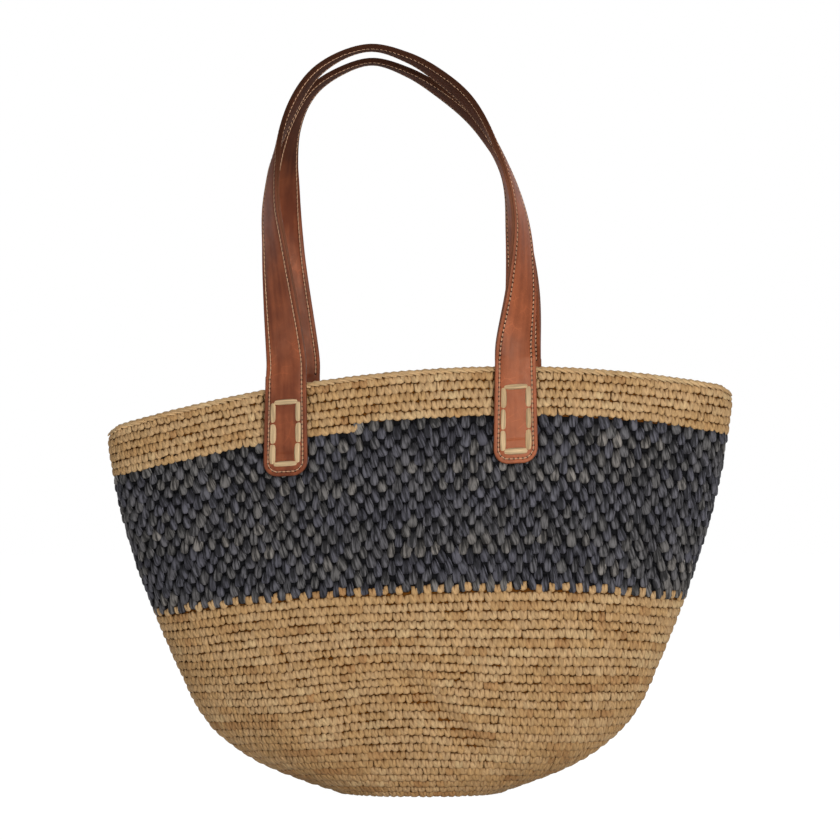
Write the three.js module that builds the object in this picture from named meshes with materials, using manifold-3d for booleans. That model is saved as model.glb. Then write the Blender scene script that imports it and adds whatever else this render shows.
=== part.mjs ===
// Crocheted raffia tote with two stitched leather strap handles, standing open on its base.
// Millimetres, +Z up, +X to the right as the front is seen, and the front faces -Y.
// The origin is on the floor under the middle of the base.

import * as THREE from 'three';
import Module from 'manifold-3d';

const wasm = await Module();
wasm.setup();

// Crocheted body
const rimHeight = 340; // top of the rim on the front centre line
const rimHalfWidth = 252.5;
const rimHalfDepth = 62;
const bellyHalfDepth = 76; // deepest place, about half way up
const baseHalfWidth = 62;
const baseHalfDepth = 40;
const sideDrop = 30.5; // how far the rim dips from the front centre to the side folds
const slump = 0.072; // slope of the rim, which sinks to the left while the base stays level
const wall = 5; // thickness of the crocheted fabric
const rimEdging = 6; // height of the chain row that finishes the rim
const upperBand = 33; // natural rows under the rim edging
const middleBand = 134; // charcoal rows under those
const heelBand = 58; // rows that turn from the base up into the wall

// Leather straps: a face and a lining, sewn together along both edges
const strapWidth = 32;
const leather = 1.8;
const tabFlare = 3; // the strap ends are this much wider where they are sewn on
const tabCorner = 12; // corner radius of a tab's end
const tabBelowRim = 79; // from the rim's top down to a tab's end
const foldAboveRim = 3; // the strap folds here when a handle drops
const seamInset = 3.6; // from the strap's edge to the seam
const seamWidth = 0.9;
const seamRise = 0.6;

// Raffia lashing that sews each tab to the wall
const lashBelowRim = 19.5; // from the rim's top down to the highest holes
const lashAboveSeam = 1; // spare room over the seam's rounded corners
const lashFromSeam = 0.2; // between the seam and the strand
const lashStitches = 3; // on each long side
const lashStrand = 4.6;
const lashThickness = 2.2;
const lashLeg = 3; // strand squeezed in its hole

// Handles
const tabSpacing = 180.5; // between the centres of one handle's two tabs
const frontLoopHeight = 256.5; // from the fold to the middle of the strap at the top of the arch
const backLoopHeight = 248.5;
const frontShift = -15.25; // from the bag's middle plane to the middle of a handle's two tabs
const backShift = -7.5;
const frontLeftTwist = 197; // that leg of the strap turns edge on over this height above the fold
const frontRightTwist = 160;
const backLeftTwist = 201;
const backRightTwist = 163;
const frontLeftEase = 0.83; // power of the way up that the turn follows: above 1 it starts slowly
const frontRightEase = 0.71;
const backLeftEase = 2.5;
const backRightEase = 0.95;
const shoulderHeight = 168; // above the fold, where the strap starts over its arch
const frontTip = 11.6; // degrees that the strap turns past edge on at the shoulders of its arch
const backTip = -9.3;
const archGap = 6; // between the two arches, which lean towards each other

const clearance = 0.3; // left between pieces that touch

// Facets
const aroundSteps = 52;
const heelRings = 5;
const lowerRings = 4;
const middleRings = 3;
const upperRings = 2;
const loopSteps = 56;
const cornerSteps = 5;
const tabRowStep = 20;

const mix = THREE.MathUtils.lerp;

// The body's outline, from the floor to just above the rim where the straps run on
const outline = [
  [0, baseHalfWidth, baseHalfDepth],
  [0.03, mix(baseHalfWidth, rimHalfWidth, 0.147), mix(baseHalfDepth, bellyHalfDepth, 0.27)],
  [0.075, mix(baseHalfWidth, rimHalfWidth, 0.328), mix(baseHalfDepth, bellyHalfDepth, 0.52)],
  [0.15, mix(baseHalfWidth, rimHalfWidth, 0.508), mix(baseHalfDepth, bellyHalfDepth, 0.75)],
  [0.225, mix(baseHalfWidth, rimHalfWidth, 0.606), mix(baseHalfDepth, bellyHalfDepth, 0.87)],
  [0.313, mix(baseHalfWidth, rimHalfWidth, 0.675), mix(baseHalfDepth, bellyHalfDepth, 0.95)],
  [0.525, mix(baseHalfWidth, rimHalfWidth, 0.815), bellyHalfDepth],
  [0.748, mix(baseHalfWidth, rimHalfWidth, 0.928), mix(bellyHalfDepth, rimHalfDepth, 0.43)],
  [1, rimHalfWidth, rimHalfDepth],
  [1.06, mix(baseHalfWidth, rimHalfWidth, 1.011), mix(bellyHalfDepth, rimHalfDepth, 1.13)],
];
const outlineCurve = new THREE.CubicInterpolant(
  outline.map(([share]) => share * rimHeight),
  outline.flatMap(([, halfWidth, halfDepth]) => [halfWidth, halfDepth]),
  2,
);

// Each handle's loop, as shares of half the tab spacing and of the loop's height
const frontShape = [
  [-1, 0], [-1, 0.04], [-1.105, 0.385], [-1.14, 0.55], [-1.04, 0.757], [-0.738, 0.937], [-0.302, 1],
  [0.06, 0.96], [0.36, 0.887], [0.615, 0.795],
  [0.9, 0.615], [1.048, 0.43], [1.055, 0.22], [1, 0.04], [1, 0],
];
const backShape = [
  [-1, 0], [-1, 0.04], [-1.13, 0.4], [-1.137, 0.6], [-1.06, 0.8], [-0.88, 0.92], [-0.61, 0.98],
  [-0.339, 1], [-0.018, 0.957], [0.25, 0.893], [0.513, 0.81], [0.68, 0.73],
  [0.87, 0.6], [0.96, 0.42], [1.01, 0.22], [1, 0.04], [1, 0],
];
const handles = [
  {
    name: 'front',
    side: -1,
    shift: frontShift,
    rise: frontLoopHeight,
    tip: frontTip,
    twists: [[frontLeftTwist, frontLeftEase], [frontRightTwist, frontRightEase]],
    shape: frontShape,
  },
  {
    name: 'back',
    side: 1,
    shift: backShift,
    rise: backLoopHeight,
    tip: backTip,
    twists: [[backLeftTwist, backLeftEase], [backRightTwist, backRightEase]],
    shape: backShape,
  },
];

const foldHeight = rimHeight + foldAboveRim;
const edgingBottom = rimHeight - rimEdging;
const upperBottom = edgingBottom - upperBand;
const middleBottom = upperBottom - middleBand;
const tabEnd = rimHeight - tabBelowRim;
const tabWidth = strapWidth + tabFlare;
const archOffset = (strapWidth + archGap) / 2; // from the bag's middle plane to the middle of an arch
const seamInnerEdge = seamInset + seamWidth / 2 + lashFromSeam;
const cornerReach = 0.78 * (lashStrand / 2); // the strand is rounded where it turns a corner
const lashColumn = strapWidth / 2 - seamInnerEdge - lashStrand / 2; // from a tab's middle to its holes

// Distances out from the wall's outer face
const liningInside = clearance;
const liningOutside = liningInside + leather;
const faceInside = liningOutside + clearance;
const faceOutside = faceInside + leather;
const overFace = faceOutside + clearance;
const underWall = -wall - clearance;

// Skin a list of sections, each the same number of points, into one closed body.
// A ring joins its last section to its first; otherwise both ends are capped.
function loft(sections, ring = false) {
  const count = sections[0].length;
  const points = sections.flat();
  const faces = [];
  const spans = ring ? sections.length : sections.length - 1;
  for (let span = 0; span < spans; span += 1) {
    const here = span * count;
    const next = ((span + 1) % sections.length) * count;
    for (let side = 0; side < count; side += 1) {
      const after = (side + 1) % count;
      faces.push(here + side, here + after, next + after);
      faces.push(here + side, next + after, next + side);
    }
  }
  if (!ring) {
    for (const first of [0, (sections.length - 1) * count]) {
      const centre = new THREE.Vector3();
      for (let side = 0; side < count; side += 1) centre.addScaledVector(points[first + side], 1 / count);
      const middle = points.push(centre) - 1;
      for (let side = 0; side < count; side += 1) {
        const after = (side + 1) % count;
        if (first === 0) faces.push(middle, first + after, first + side);
        else faces.push(middle, first + side, first + after);
      }
    }
  }
  return facingOut(points, faces);
}

// A geometry from points and faces, with the faces turned round if they enclose a negative volume
function facingOut(points, faces) {
  let volume = 0;
  for (let face = 0; face < faces.length; face += 3) {
    const [a, b, c] = faces.slice(face, face + 3).map((index) => points[index]);
    volume += a.dot(new THREE.Vector3().crossVectors(b, c));
  }
  const turned = volume < 0 ? faces.slice().reverse() : faces;
  const geometry = new THREE.BufferGeometry().setFromPoints(points);
  geometry.setIndex(turned);
  return geometry;
}

function solidOf(geometry) {
  return new wasm.Manifold(new wasm.Mesh({
    numProp: 3,
    vertProperties: new Float32Array(geometry.getAttribute('position').array),
    triVerts: new Uint32Array(geometry.index.array),
  }));
}

function geometryOf(solid) {
  const mesh = solid.getMesh();
  const geometry = new THREE.BufferGeometry();
  geometry.setAttribute('position', new THREE.BufferAttribute(mesh.vertProperties, 3));
  geometry.setIndex(new THREE.BufferAttribute(mesh.triVerts, 1));
  return geometry;
}

function joined(geometries) {
  return geometryOf(geometries.map(solidOf).reduce((whole, piece) => whole.add(piece)));
}

function pierced(geometry, cutters) {
  return geometryOf(cutters.map(solidOf).reduce((rest, cutter) => rest.subtract(cutter), solidOf(geometry)));
}

// Outer face of the crocheted wall, where a row's height is counted on the front centre line
function rowPoint(height, angle) {
  const [halfWidth, halfDepth] = outlineCurve.evaluate(height);
  const across = Math.cos(angle);
  const drop = (sideDrop * height / rimHeight) * across * across;
  return new THREE.Vector3(halfWidth * across, halfDepth * Math.sin(angle), height - drop);
}

function rowNormal(height, angle) {
  const step = 0.01;
  const along = rowPoint(height, angle + step).sub(rowPoint(height, angle - step));
  const lower = Math.max(height - step, 0);
  const up = rowPoint(height + step, angle).sub(rowPoint(lower, angle));
  return along.cross(up).normalize();
}

function wallPoint(height, angle, outward) {
  return rowPoint(height, angle).addScaledVector(rowNormal(height, angle), outward);
}

// The row and the angle round it of a place on the front or back wall, given its x and z
function placeOnWall(x, z, side) {
  let height = z;
  let share = 0;
  const passes = 8;
  for (let pass = 0; pass < passes; pass += 1) {
    share = x / outlineCurve.evaluate(height)[0];
    height = z / (1 - (sideDrop / rimHeight) * share * share);
  }
  return { height, angle: side * Math.acos(share) };
}

function onWall(x, z, outward, side) {
  const { height, angle } = placeOnWall(x, z, side);
  return wallPoint(height, angle, outward);
}

// A ring of fabric: a section through the wall, as [height, outward] pairs, taken round the bag
function fabricRing(section) {
  const sections = [];
  for (let step = 0; step < aroundSteps; step += 1) {
    const angle = (step / aroundSteps) * 2 * Math.PI;
    sections.push(section.map(([height, outward]) => wallPoint(height, angle, outward)));
  }
  return loft(sections, true);
}

// A band of rows between two heights, with a small gap to the next band at each end
function fabricBand(bottom, top, rings) {
  const heights = [];
  for (let ring = 0; ring <= rings; ring += 1) {
    heights.push(mix(bottom + clearance / 2, top - clearance / 2, ring / rings));
  }
  const outside = heights.map((height) => [height, 0]);
  const inside = heights.map((height) => [height, -wall]).reverse();
  return fabricRing([...outside, ...inside]);
}

// The flat oval base, drawn in by the clearance from the first row of the wall
function baseDisc() {
  const rings = [[], []];
  for (let step = 0; step < aroundSteps; step += 1) {
    const angle = (step / aroundSteps) * 2 * Math.PI;
    [0, -wall].forEach((outward, ring) => {
      const point = wallPoint(0, angle, outward);
      const inward = new THREE.Vector3(point.x, point.y, 0).normalize().multiplyScalar(-clearance);
      rings[ring].push(point.add(inward));
    });
  }
  return loft(rings);
}

// The chain row along the rim, with rounded shoulders
function rimChain() {
  const bottom = edgingBottom + clearance / 2;
  const shoulder = wall / 4;
  return fabricRing([
    [bottom, 0],
    [rimHeight - 2 * shoulder, 0],
    [rimHeight, -shoulder],
    [rimHeight, shoulder - wall],
    [rimHeight - 2 * shoulder, -wall],
    [bottom, -wall],
  ]);
}

// Half the width of a strap's end at a height, with its two rounded corners
function tabHalfWidth(z) {
  const straight = mix(tabWidth, strapWidth, (z - tabEnd) / (foldHeight - tabEnd)) / 2;
  const intoCorner = Math.max(0, tabCorner - (z - tabEnd));
  return straight - tabCorner + Math.sqrt(tabCorner ** 2 - intoCorner ** 2);
}

// Heights of a tab's sections, closer together round its corners
function tabHeights() {
  const heights = [];
  for (let step = 0; step < cornerSteps; step += 1) {
    const angle = (step / cornerSteps) * (Math.PI / 2);
    heights.push(tabEnd + tabCorner * (1 - Math.cos(angle)));
  }
  const straightEnd = foldHeight - clearance / 2;
  const straightStart = tabEnd + tabCorner;
  const rows = Math.ceil((straightEnd - straightStart) / tabRowStep);
  for (let row = 0; row <= rows; row += 1) heights.push(mix(straightStart, straightEnd, row / rows));
  return heights;
}

// One layer of a tab, lying on the wall
function tabLayer(tab, inside, outside) {
  const across = [-1, 0, 1];
  const sections = tabHeights().map((z) => {
    const place = (share, outward) => onWall(tab.x + share * tabHalfWidth(z), z, outward, tab.side);
    const inner = across.map((share) => place(share, inside));
    const outer = across.map((share) => place(share, outside)).reverse();
    return [...inner, ...outer];
  });
  return loft(sections);
}

// The seam thread round a tab, a little inside its edge, from one side of the fold to the other
function tabSeam(tab) {
  const corner = tabCorner - seamInset;
  const route = [];
  const heights = tabHeights().slice(cornerSteps).reverse();
  for (const z of heights) route.push([-tabHalfWidth(z) + seamInset, z, -1, 0]);
  const centreZ = tabEnd + tabCorner;
  const centreX = tabHalfWidth(centreZ) - tabCorner;
  for (const end of [-1, 1]) {
    for (let step = 0; step <= cornerSteps; step += 1) {
      const turn = (end < 0 ? step : cornerSteps - step) / cornerSteps;
      const outX = end * Math.cos(turn * (Math.PI / 2));
      const outZ = -Math.sin(turn * (Math.PI / 2));
      const repeated = end < 0 && step === 0;
      if (!repeated) route.push([end * centreX + corner * outX, centreZ + corner * outZ, outX, outZ]);
    }
  }
  for (const z of heights.reverse().slice(1)) route.push([tabHalfWidth(z) - seamInset, z, 1, 0]);
  const half = seamWidth / 2;
  const sections = route.map(([x, z, outX, outZ]) => {
    const place = (offset, outward) => (
      onWall(tab.x + x + offset * outX, z + offset * outZ, outward, tab.side)
    );
    return [
      place(-half, overFace),
      place(half, overFace),
      place(half, overFace + seamRise),
      place(-half, overFace + seamRise),
    ];
  });
  return loft(sections);
}

// Centres of the lashing's holes, in order round its rectangle, from the middle of the tab.
// The third value is -1 on the lowest row, 1 on the highest and 0 between them.
function lashHoles() {
  const seamCorner = tabCorner - seamInnerEdge;
  const intoCorner = lashColumn + cornerReach - (tabWidth / 2 - tabCorner);
  const underCorner = Math.sqrt(seamCorner ** 2 - intoCorner ** 2);
  const lowest = tabEnd + tabCorner - underCorner + cornerReach + lashAboveSeam;
  const highest = rimHeight - lashBelowRim;
  const column = [];
  for (let row = 0; row <= lashStitches; row += 1) {
    const end = Number(row === lashStitches) - Number(row === 0);
    column.push([mix(lowest, highest, row / lashStitches), end]);
  }
  const left = column.map(([z, end]) => [-lashColumn, z, end]);
  const right = column.map(([z, end]) => [lashColumn, z, end]).reverse();
  return [...left, ...right];
}

// A square peg through the wall at a hole
function wallPeg(tab, [x, z], width, inside, outside) {
  const half = width / 2;
  const corners = [[-half, -half], [half, -half], [half, half], [-half, half]];
  return loft([inside, outside].map((outward) => (
    corners.map(([across, up]) => onWall(tab.x + x + across, z + up, outward, tab.side))
  )));
}

// The stitches on one face of the wall, as a ring through all the holes with rounded corners
function stitchRing(tab, inside, outside) {
  const half = lashStrand / 2;
  return loft(lashHoles().map(([x, z, end]) => {
    const reach = end === 0 ? half : cornerReach;
    const place = (out, outward) => (
      onWall(tab.x + x + out * Math.sign(x), z + out * end, outward, tab.side)
    );
    return [place(-half, inside), place(reach, inside), place(reach, outside), place(-half, outside)];
  }), true);
}

// Stitches outside, stitches inside and the legs between them, as one strand
function lashing(tab) {
  const middle = lashThickness / 2;
  const legs = lashHoles().map((hole) => (
    wallPeg(tab, hole, lashLeg, underWall - middle, overFace + middle)
  ));
  const front = stitchRing(tab, overFace, overFace + lashThickness);
  const behind = stitchRing(tab, underWall - lashThickness, underWall);
  return joined([front, behind, ...legs]);
}

// Holes that the lashing passes through, cut right through the fabric and the leather
function lashCutters(tab) {
  const width = lashLeg + 2 * clearance;
  return lashHoles().map((hole) => wallPeg(tab, hole, width, underWall - clearance, overFace));
}

// Places along a handle's loop: where the strap is, which way its face looks and which way it is wide
function loopFrames(handle) {
  const [left, right] = handle.tabs.map((tab) => {
    const { height, angle } = placeOnWall(tab.x, foldHeight, tab.side);
    const normal = rowNormal(height, angle);
    const middle = onWall(tab.x, foldHeight, (liningInside + faceOutside) / 2, tab.side);
    const lean = -normal.z / Math.abs(normal.y);
    return { out: Math.abs(middle.y), lean, turn: Math.asin(Math.abs(normal.x)) };
  });
  const start = foldHeight + clearance / 2;
  const line = new THREE.CatmullRomCurve3(handle.shape.map(([across, up]) => new THREE.Vector3(
    handle.shift + (across * tabSpacing) / 2,
    0,
    start + up * handle.rise,
  )));
  const place = (share) => {
    const point = line.getPointAt(THREE.MathUtils.clamp(share, 0, 1));
    const rise = point.z - start;
    const out = mix(left.out, right.out, share);
    const lean = mix(left.lean, right.lean, share);
    const topRise = handle.rise;
    const bend = (archOffset - out - lean * topRise) / topRise ** 2;
    point.y = handle.side * (out + lean * rise + bend * rise ** 2);
    return point;
  };
  const frames = [];
  for (let step = 0; step <= loopSteps; step += 1) {
    const share = step / loopSteps;
    const small = 0.002;
    const point = place(share);
    const along = place(share + small).sub(place(share - small)).normalize();
    const outOfLoop = new THREE.Vector3(-along.z, 0, along.x);
    const rise = point.z - start;
    const turns = handle.twists.map(([height, ease]) => THREE.MathUtils.clamp(rise / height, 0, 1) ** ease);
    const turned = mix(turns[0], turns[1], THREE.MathUtils.smoothstep(share, 0.3, 0.7));
    const overTop = Math.max(0, (rise - shoulderHeight) / (handle.rise - shoulderHeight));
    const tip = THREE.MathUtils.degToRad(handle.tip) * Math.sin(Math.PI * overTop);
    const turn = mix(mix(left.turn, right.turn, share), Math.PI / 2, turned) + tip;
    const face = new THREE.Vector3(0, handle.side * Math.cos(turn), 0);
    face.addScaledVector(outOfLoop, Math.sin(turn));
    face.addScaledVector(along, -face.dot(along)).normalize();
    frames.push({ point, face, wide: new THREE.Vector3().crossVectors(along, face) });
  }
  return frames;
}

// A strip along a handle's loop, between two places across the strap and two distances through it,
// counted from the wall as on the tabs. Strips that face each other start from their facing sides,
// so that both are faceted alike there.
function loopStrip(frames, across, start, end) {
  const middle = (liningInside + faceOutside) / 2;
  return loft(frames.map(({ point, face, wide }) => {
    const row = (out) => across.map((offset) => (
      point.clone().addScaledVector(wide, offset).addScaledVector(face, out - middle)
    ));
    return [...row(start), ...row(end).reverse()];
  }));
}

const natural = { color: 0xb58b5d, roughness: 0.85, metalness: 0 };
const charcoal = { color: 0x3f3e41, roughness: 0.85, metalness: 0 };
const tan = { color: 0x8f5236, roughness: 0.5, metalness: 0 };
const paleThread = { color: 0xc9a98a, roughness: 0.7, metalness: 0 };
const paleRaffia = { color: 0xbea17f, roughness: 0.8, metalness: 0 };

const bag = new THREE.Group();

// Let a finished piece sink to the left with the rim, in full above the rim and not at all on the floor
function slumped(geometry) {
  const places = geometry.getAttribute('position');
  for (let point = 0; point < places.count; point += 1) {
    const z = places.getZ(point);
    places.setZ(point, z + slump * Math.min(z / rimHeight, 1) * places.getX(point));
  }
  return geometry;
}

function addPiece(name, geometry, finish) {
  const flat = slumped(geometry.toNonIndexed());
  flat.computeVertexNormals();
  const mesh = new THREE.Mesh(flat, new THREE.MeshStandardMaterial(finish));
  mesh.name = name;
  bag.add(mesh);
}

for (const handle of handles) {
  handle.tabs = ['left', 'right'].map((end, index) => ({
    name: `${handle.name}_tab_${end}`,
    side: handle.side,
    x: handle.shift + (index - 0.5) * tabSpacing,
  }));
}
const tabs = handles.flatMap((handle) => handle.tabs);
const allCutters = tabs.flatMap(lashCutters);

addPiece('base', baseDisc(), natural);
addPiece('heel_band', fabricBand(0, heelBand, heelRings), natural);
addPiece('lower_band', fabricBand(heelBand, middleBottom, lowerRings), natural);
addPiece('middle_band', pierced(fabricBand(middleBottom, upperBottom, middleRings), allCutters), charcoal);
addPiece('upper_band', pierced(fabricBand(upperBottom, edgingBottom, upperRings), allCutters), natural);
addPiece('rim_edging', pierced(rimChain(), allCutters), natural);

for (const tab of tabs) {
  const cutters = lashCutters(tab);
  addPiece(`${tab.name}_face`, pierced(tabLayer(tab, faceInside, faceOutside), cutters), tan);
  addPiece(`${tab.name}_lining`, pierced(tabLayer(tab, liningInside, liningOutside), cutters), tan);
  addPiece(`${tab.name}_seam`, tabSeam(tab), paleThread);
  addPiece(`${tab.name}_lashing`, lashing(tab), paleRaffia);
}

for (const handle of handles) {
  const frames = loopFrames(handle);
  const half = strapWidth / 2;
  const seamMiddle = half - seamInset;
  const across = [-half, -seamMiddle, 0, seamMiddle, half];
  addPiece(`${handle.name}_loop_face`, loopStrip(frames, across, faceInside, faceOutside), tan);
  addPiece(`${handle.name}_loop_lining`, loopStrip(frames, across, liningOutside, liningInside), tan);
  for (const [edge, middle] of [['near', seamMiddle], ['far', -seamMiddle]]) {
    const seamAcross = [middle - seamWidth / 2, middle + seamWidth / 2];
    const seam = loopStrip(frames, seamAcross, overFace, overFace + seamRise);
    addPiece(`${handle.name}_loop_seam_${edge}`, seam, paleThread);
  }
}

export default bag;
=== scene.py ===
"""Crocheted raffia tote with two leather strap handles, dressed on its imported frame.

Metres, +Z up, +X to the right as the front is seen, and the front faces -Y.
"""

import math

import bmesh
import bpy
import numpy as np
from bpy.props import FloatProperty, FloatVectorProperty, IntProperty, PointerProperty
from bpy.types import Operator, Panel, PropertyGroup
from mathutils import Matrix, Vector


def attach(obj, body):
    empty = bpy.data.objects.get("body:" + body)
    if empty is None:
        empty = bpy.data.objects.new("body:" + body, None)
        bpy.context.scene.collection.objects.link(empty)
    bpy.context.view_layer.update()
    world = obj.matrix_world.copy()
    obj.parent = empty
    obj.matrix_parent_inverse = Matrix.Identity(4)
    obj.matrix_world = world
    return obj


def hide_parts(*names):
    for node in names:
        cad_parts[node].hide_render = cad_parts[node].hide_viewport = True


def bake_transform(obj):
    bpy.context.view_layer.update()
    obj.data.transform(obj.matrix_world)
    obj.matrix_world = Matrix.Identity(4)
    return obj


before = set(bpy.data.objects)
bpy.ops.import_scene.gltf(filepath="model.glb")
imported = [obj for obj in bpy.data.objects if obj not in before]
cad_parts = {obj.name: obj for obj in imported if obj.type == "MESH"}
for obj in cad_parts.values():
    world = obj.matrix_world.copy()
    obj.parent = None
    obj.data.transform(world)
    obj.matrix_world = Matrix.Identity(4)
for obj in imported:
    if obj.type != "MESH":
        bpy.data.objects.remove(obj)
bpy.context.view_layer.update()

bl_info = {
    "name": "Raffia crochet tote",
    "version": (1, 0, 0),
    "blender": (4, 5, 0),
    "location": "View3D > Sidebar > Tote",
    "description": "Crocheted raffia body, stitched leather handles and raffia lashings",
    "category": "Add Mesh",
}

MM = 0.001

# Share of the rim's height, then how far the half width has gone from base to rim, and the half depth
# from base to belly and from belly to rim, as in the part's source
OUTLINE = (
    (0.0, 0.0, 0.0, 0.0),
    (0.03, 0.147, 0.27, 0.0),
    (0.075, 0.328, 0.52, 0.0),
    (0.15, 0.508, 0.75, 0.0),
    (0.225, 0.606, 0.87, 0.0),
    (0.313, 0.675, 0.95, 0.0),
    (0.525, 0.815, 1.0, 0.0),
    (0.748, 0.928, 1.0, 0.43),
    (1.0, 1.0, 1.0, 1.0),
    (1.06, 1.011, 1.0, 1.13),
)

# Each handle's loop, as shares of half the tab spacing and of the loop's height, as in the part's source
FRONT_SHAPE = (
    (-1.0, 0.0), (-1.0, 0.04), (-1.105, 0.385), (-1.14, 0.55), (-1.04, 0.757), (-0.738, 0.937),
    (-0.302, 1.0), (0.06, 0.96), (0.36, 0.887), (0.615, 0.795),
    (0.9, 0.615), (1.048, 0.43), (1.055, 0.22), (1.0, 0.04), (1.0, 0.0),
)
BACK_SHAPE = (
    (-1.0, 0.0), (-1.0, 0.04), (-1.13, 0.4), (-1.137, 0.6), (-1.06, 0.8), (-0.88, 0.92), (-0.61, 0.98),
    (-0.339, 1.0), (-0.018, 0.957), (0.25, 0.893), (0.513, 0.81), (0.68, 0.73),
    (0.87, 0.6), (0.96, 0.42), (1.01, 0.22), (1.0, 0.04), (1.0, 0.0),
)

# Dents (and swellings, below 0) of the soft fabric: front (-1) or back (1), middle across and up, reach
# across and up, lean as a slope, and depth. The lengths are in mm
DENTS = (
    (-1, -108, 65, 28, 48, -0.5, -6.5),
    (-1, 20, 63, 13, 46, -1.0, 7.0),
    (-1, -45, 66, 12, 26, -0.2, 3.6),
    (-1, 80, 64, 24, 48, -0.35, -1.4),
    (1, -96, 88, 26, 60, 0.4, 4.0),
    (1, -44, 76, 24, 54, 0.4, -1.8),
    (1, 62, 60, 18, 46, -0.3, 2.6),
)

# Where a strap has points, in mm: in from its edge, closer where it is rounded and sewn, up from a tab's
# end, and below and above the crease across a tab
EDGE_STEPS = (0.0, 0.4, 0.9, 1.9, 2.9, 3.6, 4.3, 5.4, 7.6, 10.4, 13.2, 16.0)
END_STEPS = (0.0, 0.15, 0.45, 0.9, 1.8, 2.6, 3.4, 4.6, 6.0, 8.0, 10.0, 12.0, 14.5)
CREASE_STEPS = (-1.6, -0.8, -0.4, 0.0, 0.4, 0.8, 1.6)

# How far in from its outer face the fabric's core lies, its outside and its inside, as shares of the
# fabric's thickness
CORE = (0.5, 0.7)

# How far a wall stitch is sunk into the fabric, as a share of its depth
WALL_STITCH_SUNK = 0.42

# How high the fabric and the top row reach into the rim's edging, as a share of the edging's height
INTO_EDGING = 0.3


def linear(code):
    """An sRGB hex colour as linear red, green and blue."""
    shares = [int(code[start:start + 2], 16) / 255 for start in (1, 3, 5)]
    return tuple(
        share / 12.92 if share <= 0.04045 else ((share + 0.055) / 1.055) ** 2.4 for share in shares
    )


def size(name, description, millimetres):
    """A length that a user may change, given in millimetres."""
    return FloatProperty(name=name, description=description, default=millimetres * MM, unit="LENGTH")


def tilt(name, description, degrees):
    """An angle that a user may change, given in degrees."""
    return FloatProperty(
        name=name, description=description, default=math.radians(degrees), subtype="ANGLE"
    )


def power(name, description, exponent):
    """A power that a user may change."""
    return FloatProperty(name=name, description=description, default=exponent, min=0.2, max=5)


def colour(name, description, code):
    """A colour that a user may change, given as an sRGB hex value."""
    return FloatVectorProperty(
        name=name, description=description, default=linear(code), size=3, min=0, max=1, subtype="COLOR"
    )


class ToteBody(PropertyGroup):
    """Sizes of the crocheted body."""

    rim_height: size("Rim height", "Top of the rim on the front centre line", 340)
    rim_half_width: size("Rim half width", "Half the width across the rim", 252.5)
    rim_half_depth: size("Rim half depth", "Half the depth across the rim", 62)
    belly_half_depth: size("Belly half depth", "Half the depth at the deepest place", 76)
    base_half_width: size("Base half width", "Half the width of the flat base", 62)
    base_half_depth: size("Base half depth", "Half the depth of the flat base", 40)
    side_drop: size("Side drop", "How far the rim dips at the side folds", 30.5)
    rim_corner: size("Rim corner", "How far from its ends the rim is rounded down", 14)
    slump: FloatProperty(
        name="Slump", description="Slope of the rim, which sinks to the left", default=0.072
    )
    fabric: size("Fabric", "Thickness of the crocheted fabric", 5)
    edging: size("Rim edging", "Height of the chain row along the rim", 6)
    upper_band: size("Upper band", "Height of the natural rows under the rim", 33)
    middle_band: size("Middle band", "Height of the charcoal rows", 134)
    heel_band: size("Heel band", "Height of the rows that turn up from the base", 58)
    stitch_width: size("Stitch width", "Width of one natural stitch", 5.9)
    row_height: size("Row height", "Height of one natural row", 7.1)
    stitch_depth: size("Stitch depth", "How far a stitch stands through the fabric", 3.6)
    stitch_lean: tilt("Stitch lean", "How far a natural stitch leans along its row", 9)
    column_width: size("Column width", "Width of one charcoal column", 5.9)
    long_stitch: size("Long stitch", "Height of one charcoal stitch", 14)
    long_lean: tilt("Long lean", "How far a charcoal stitch leans in the middle", 7)
    long_lean_change: tilt("Long lean change", "How much more it leans at the right and less at the left", 6)
    colour_step: size("Colour step", "Where the upper band loses a row, from the front centre", -50)


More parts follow.
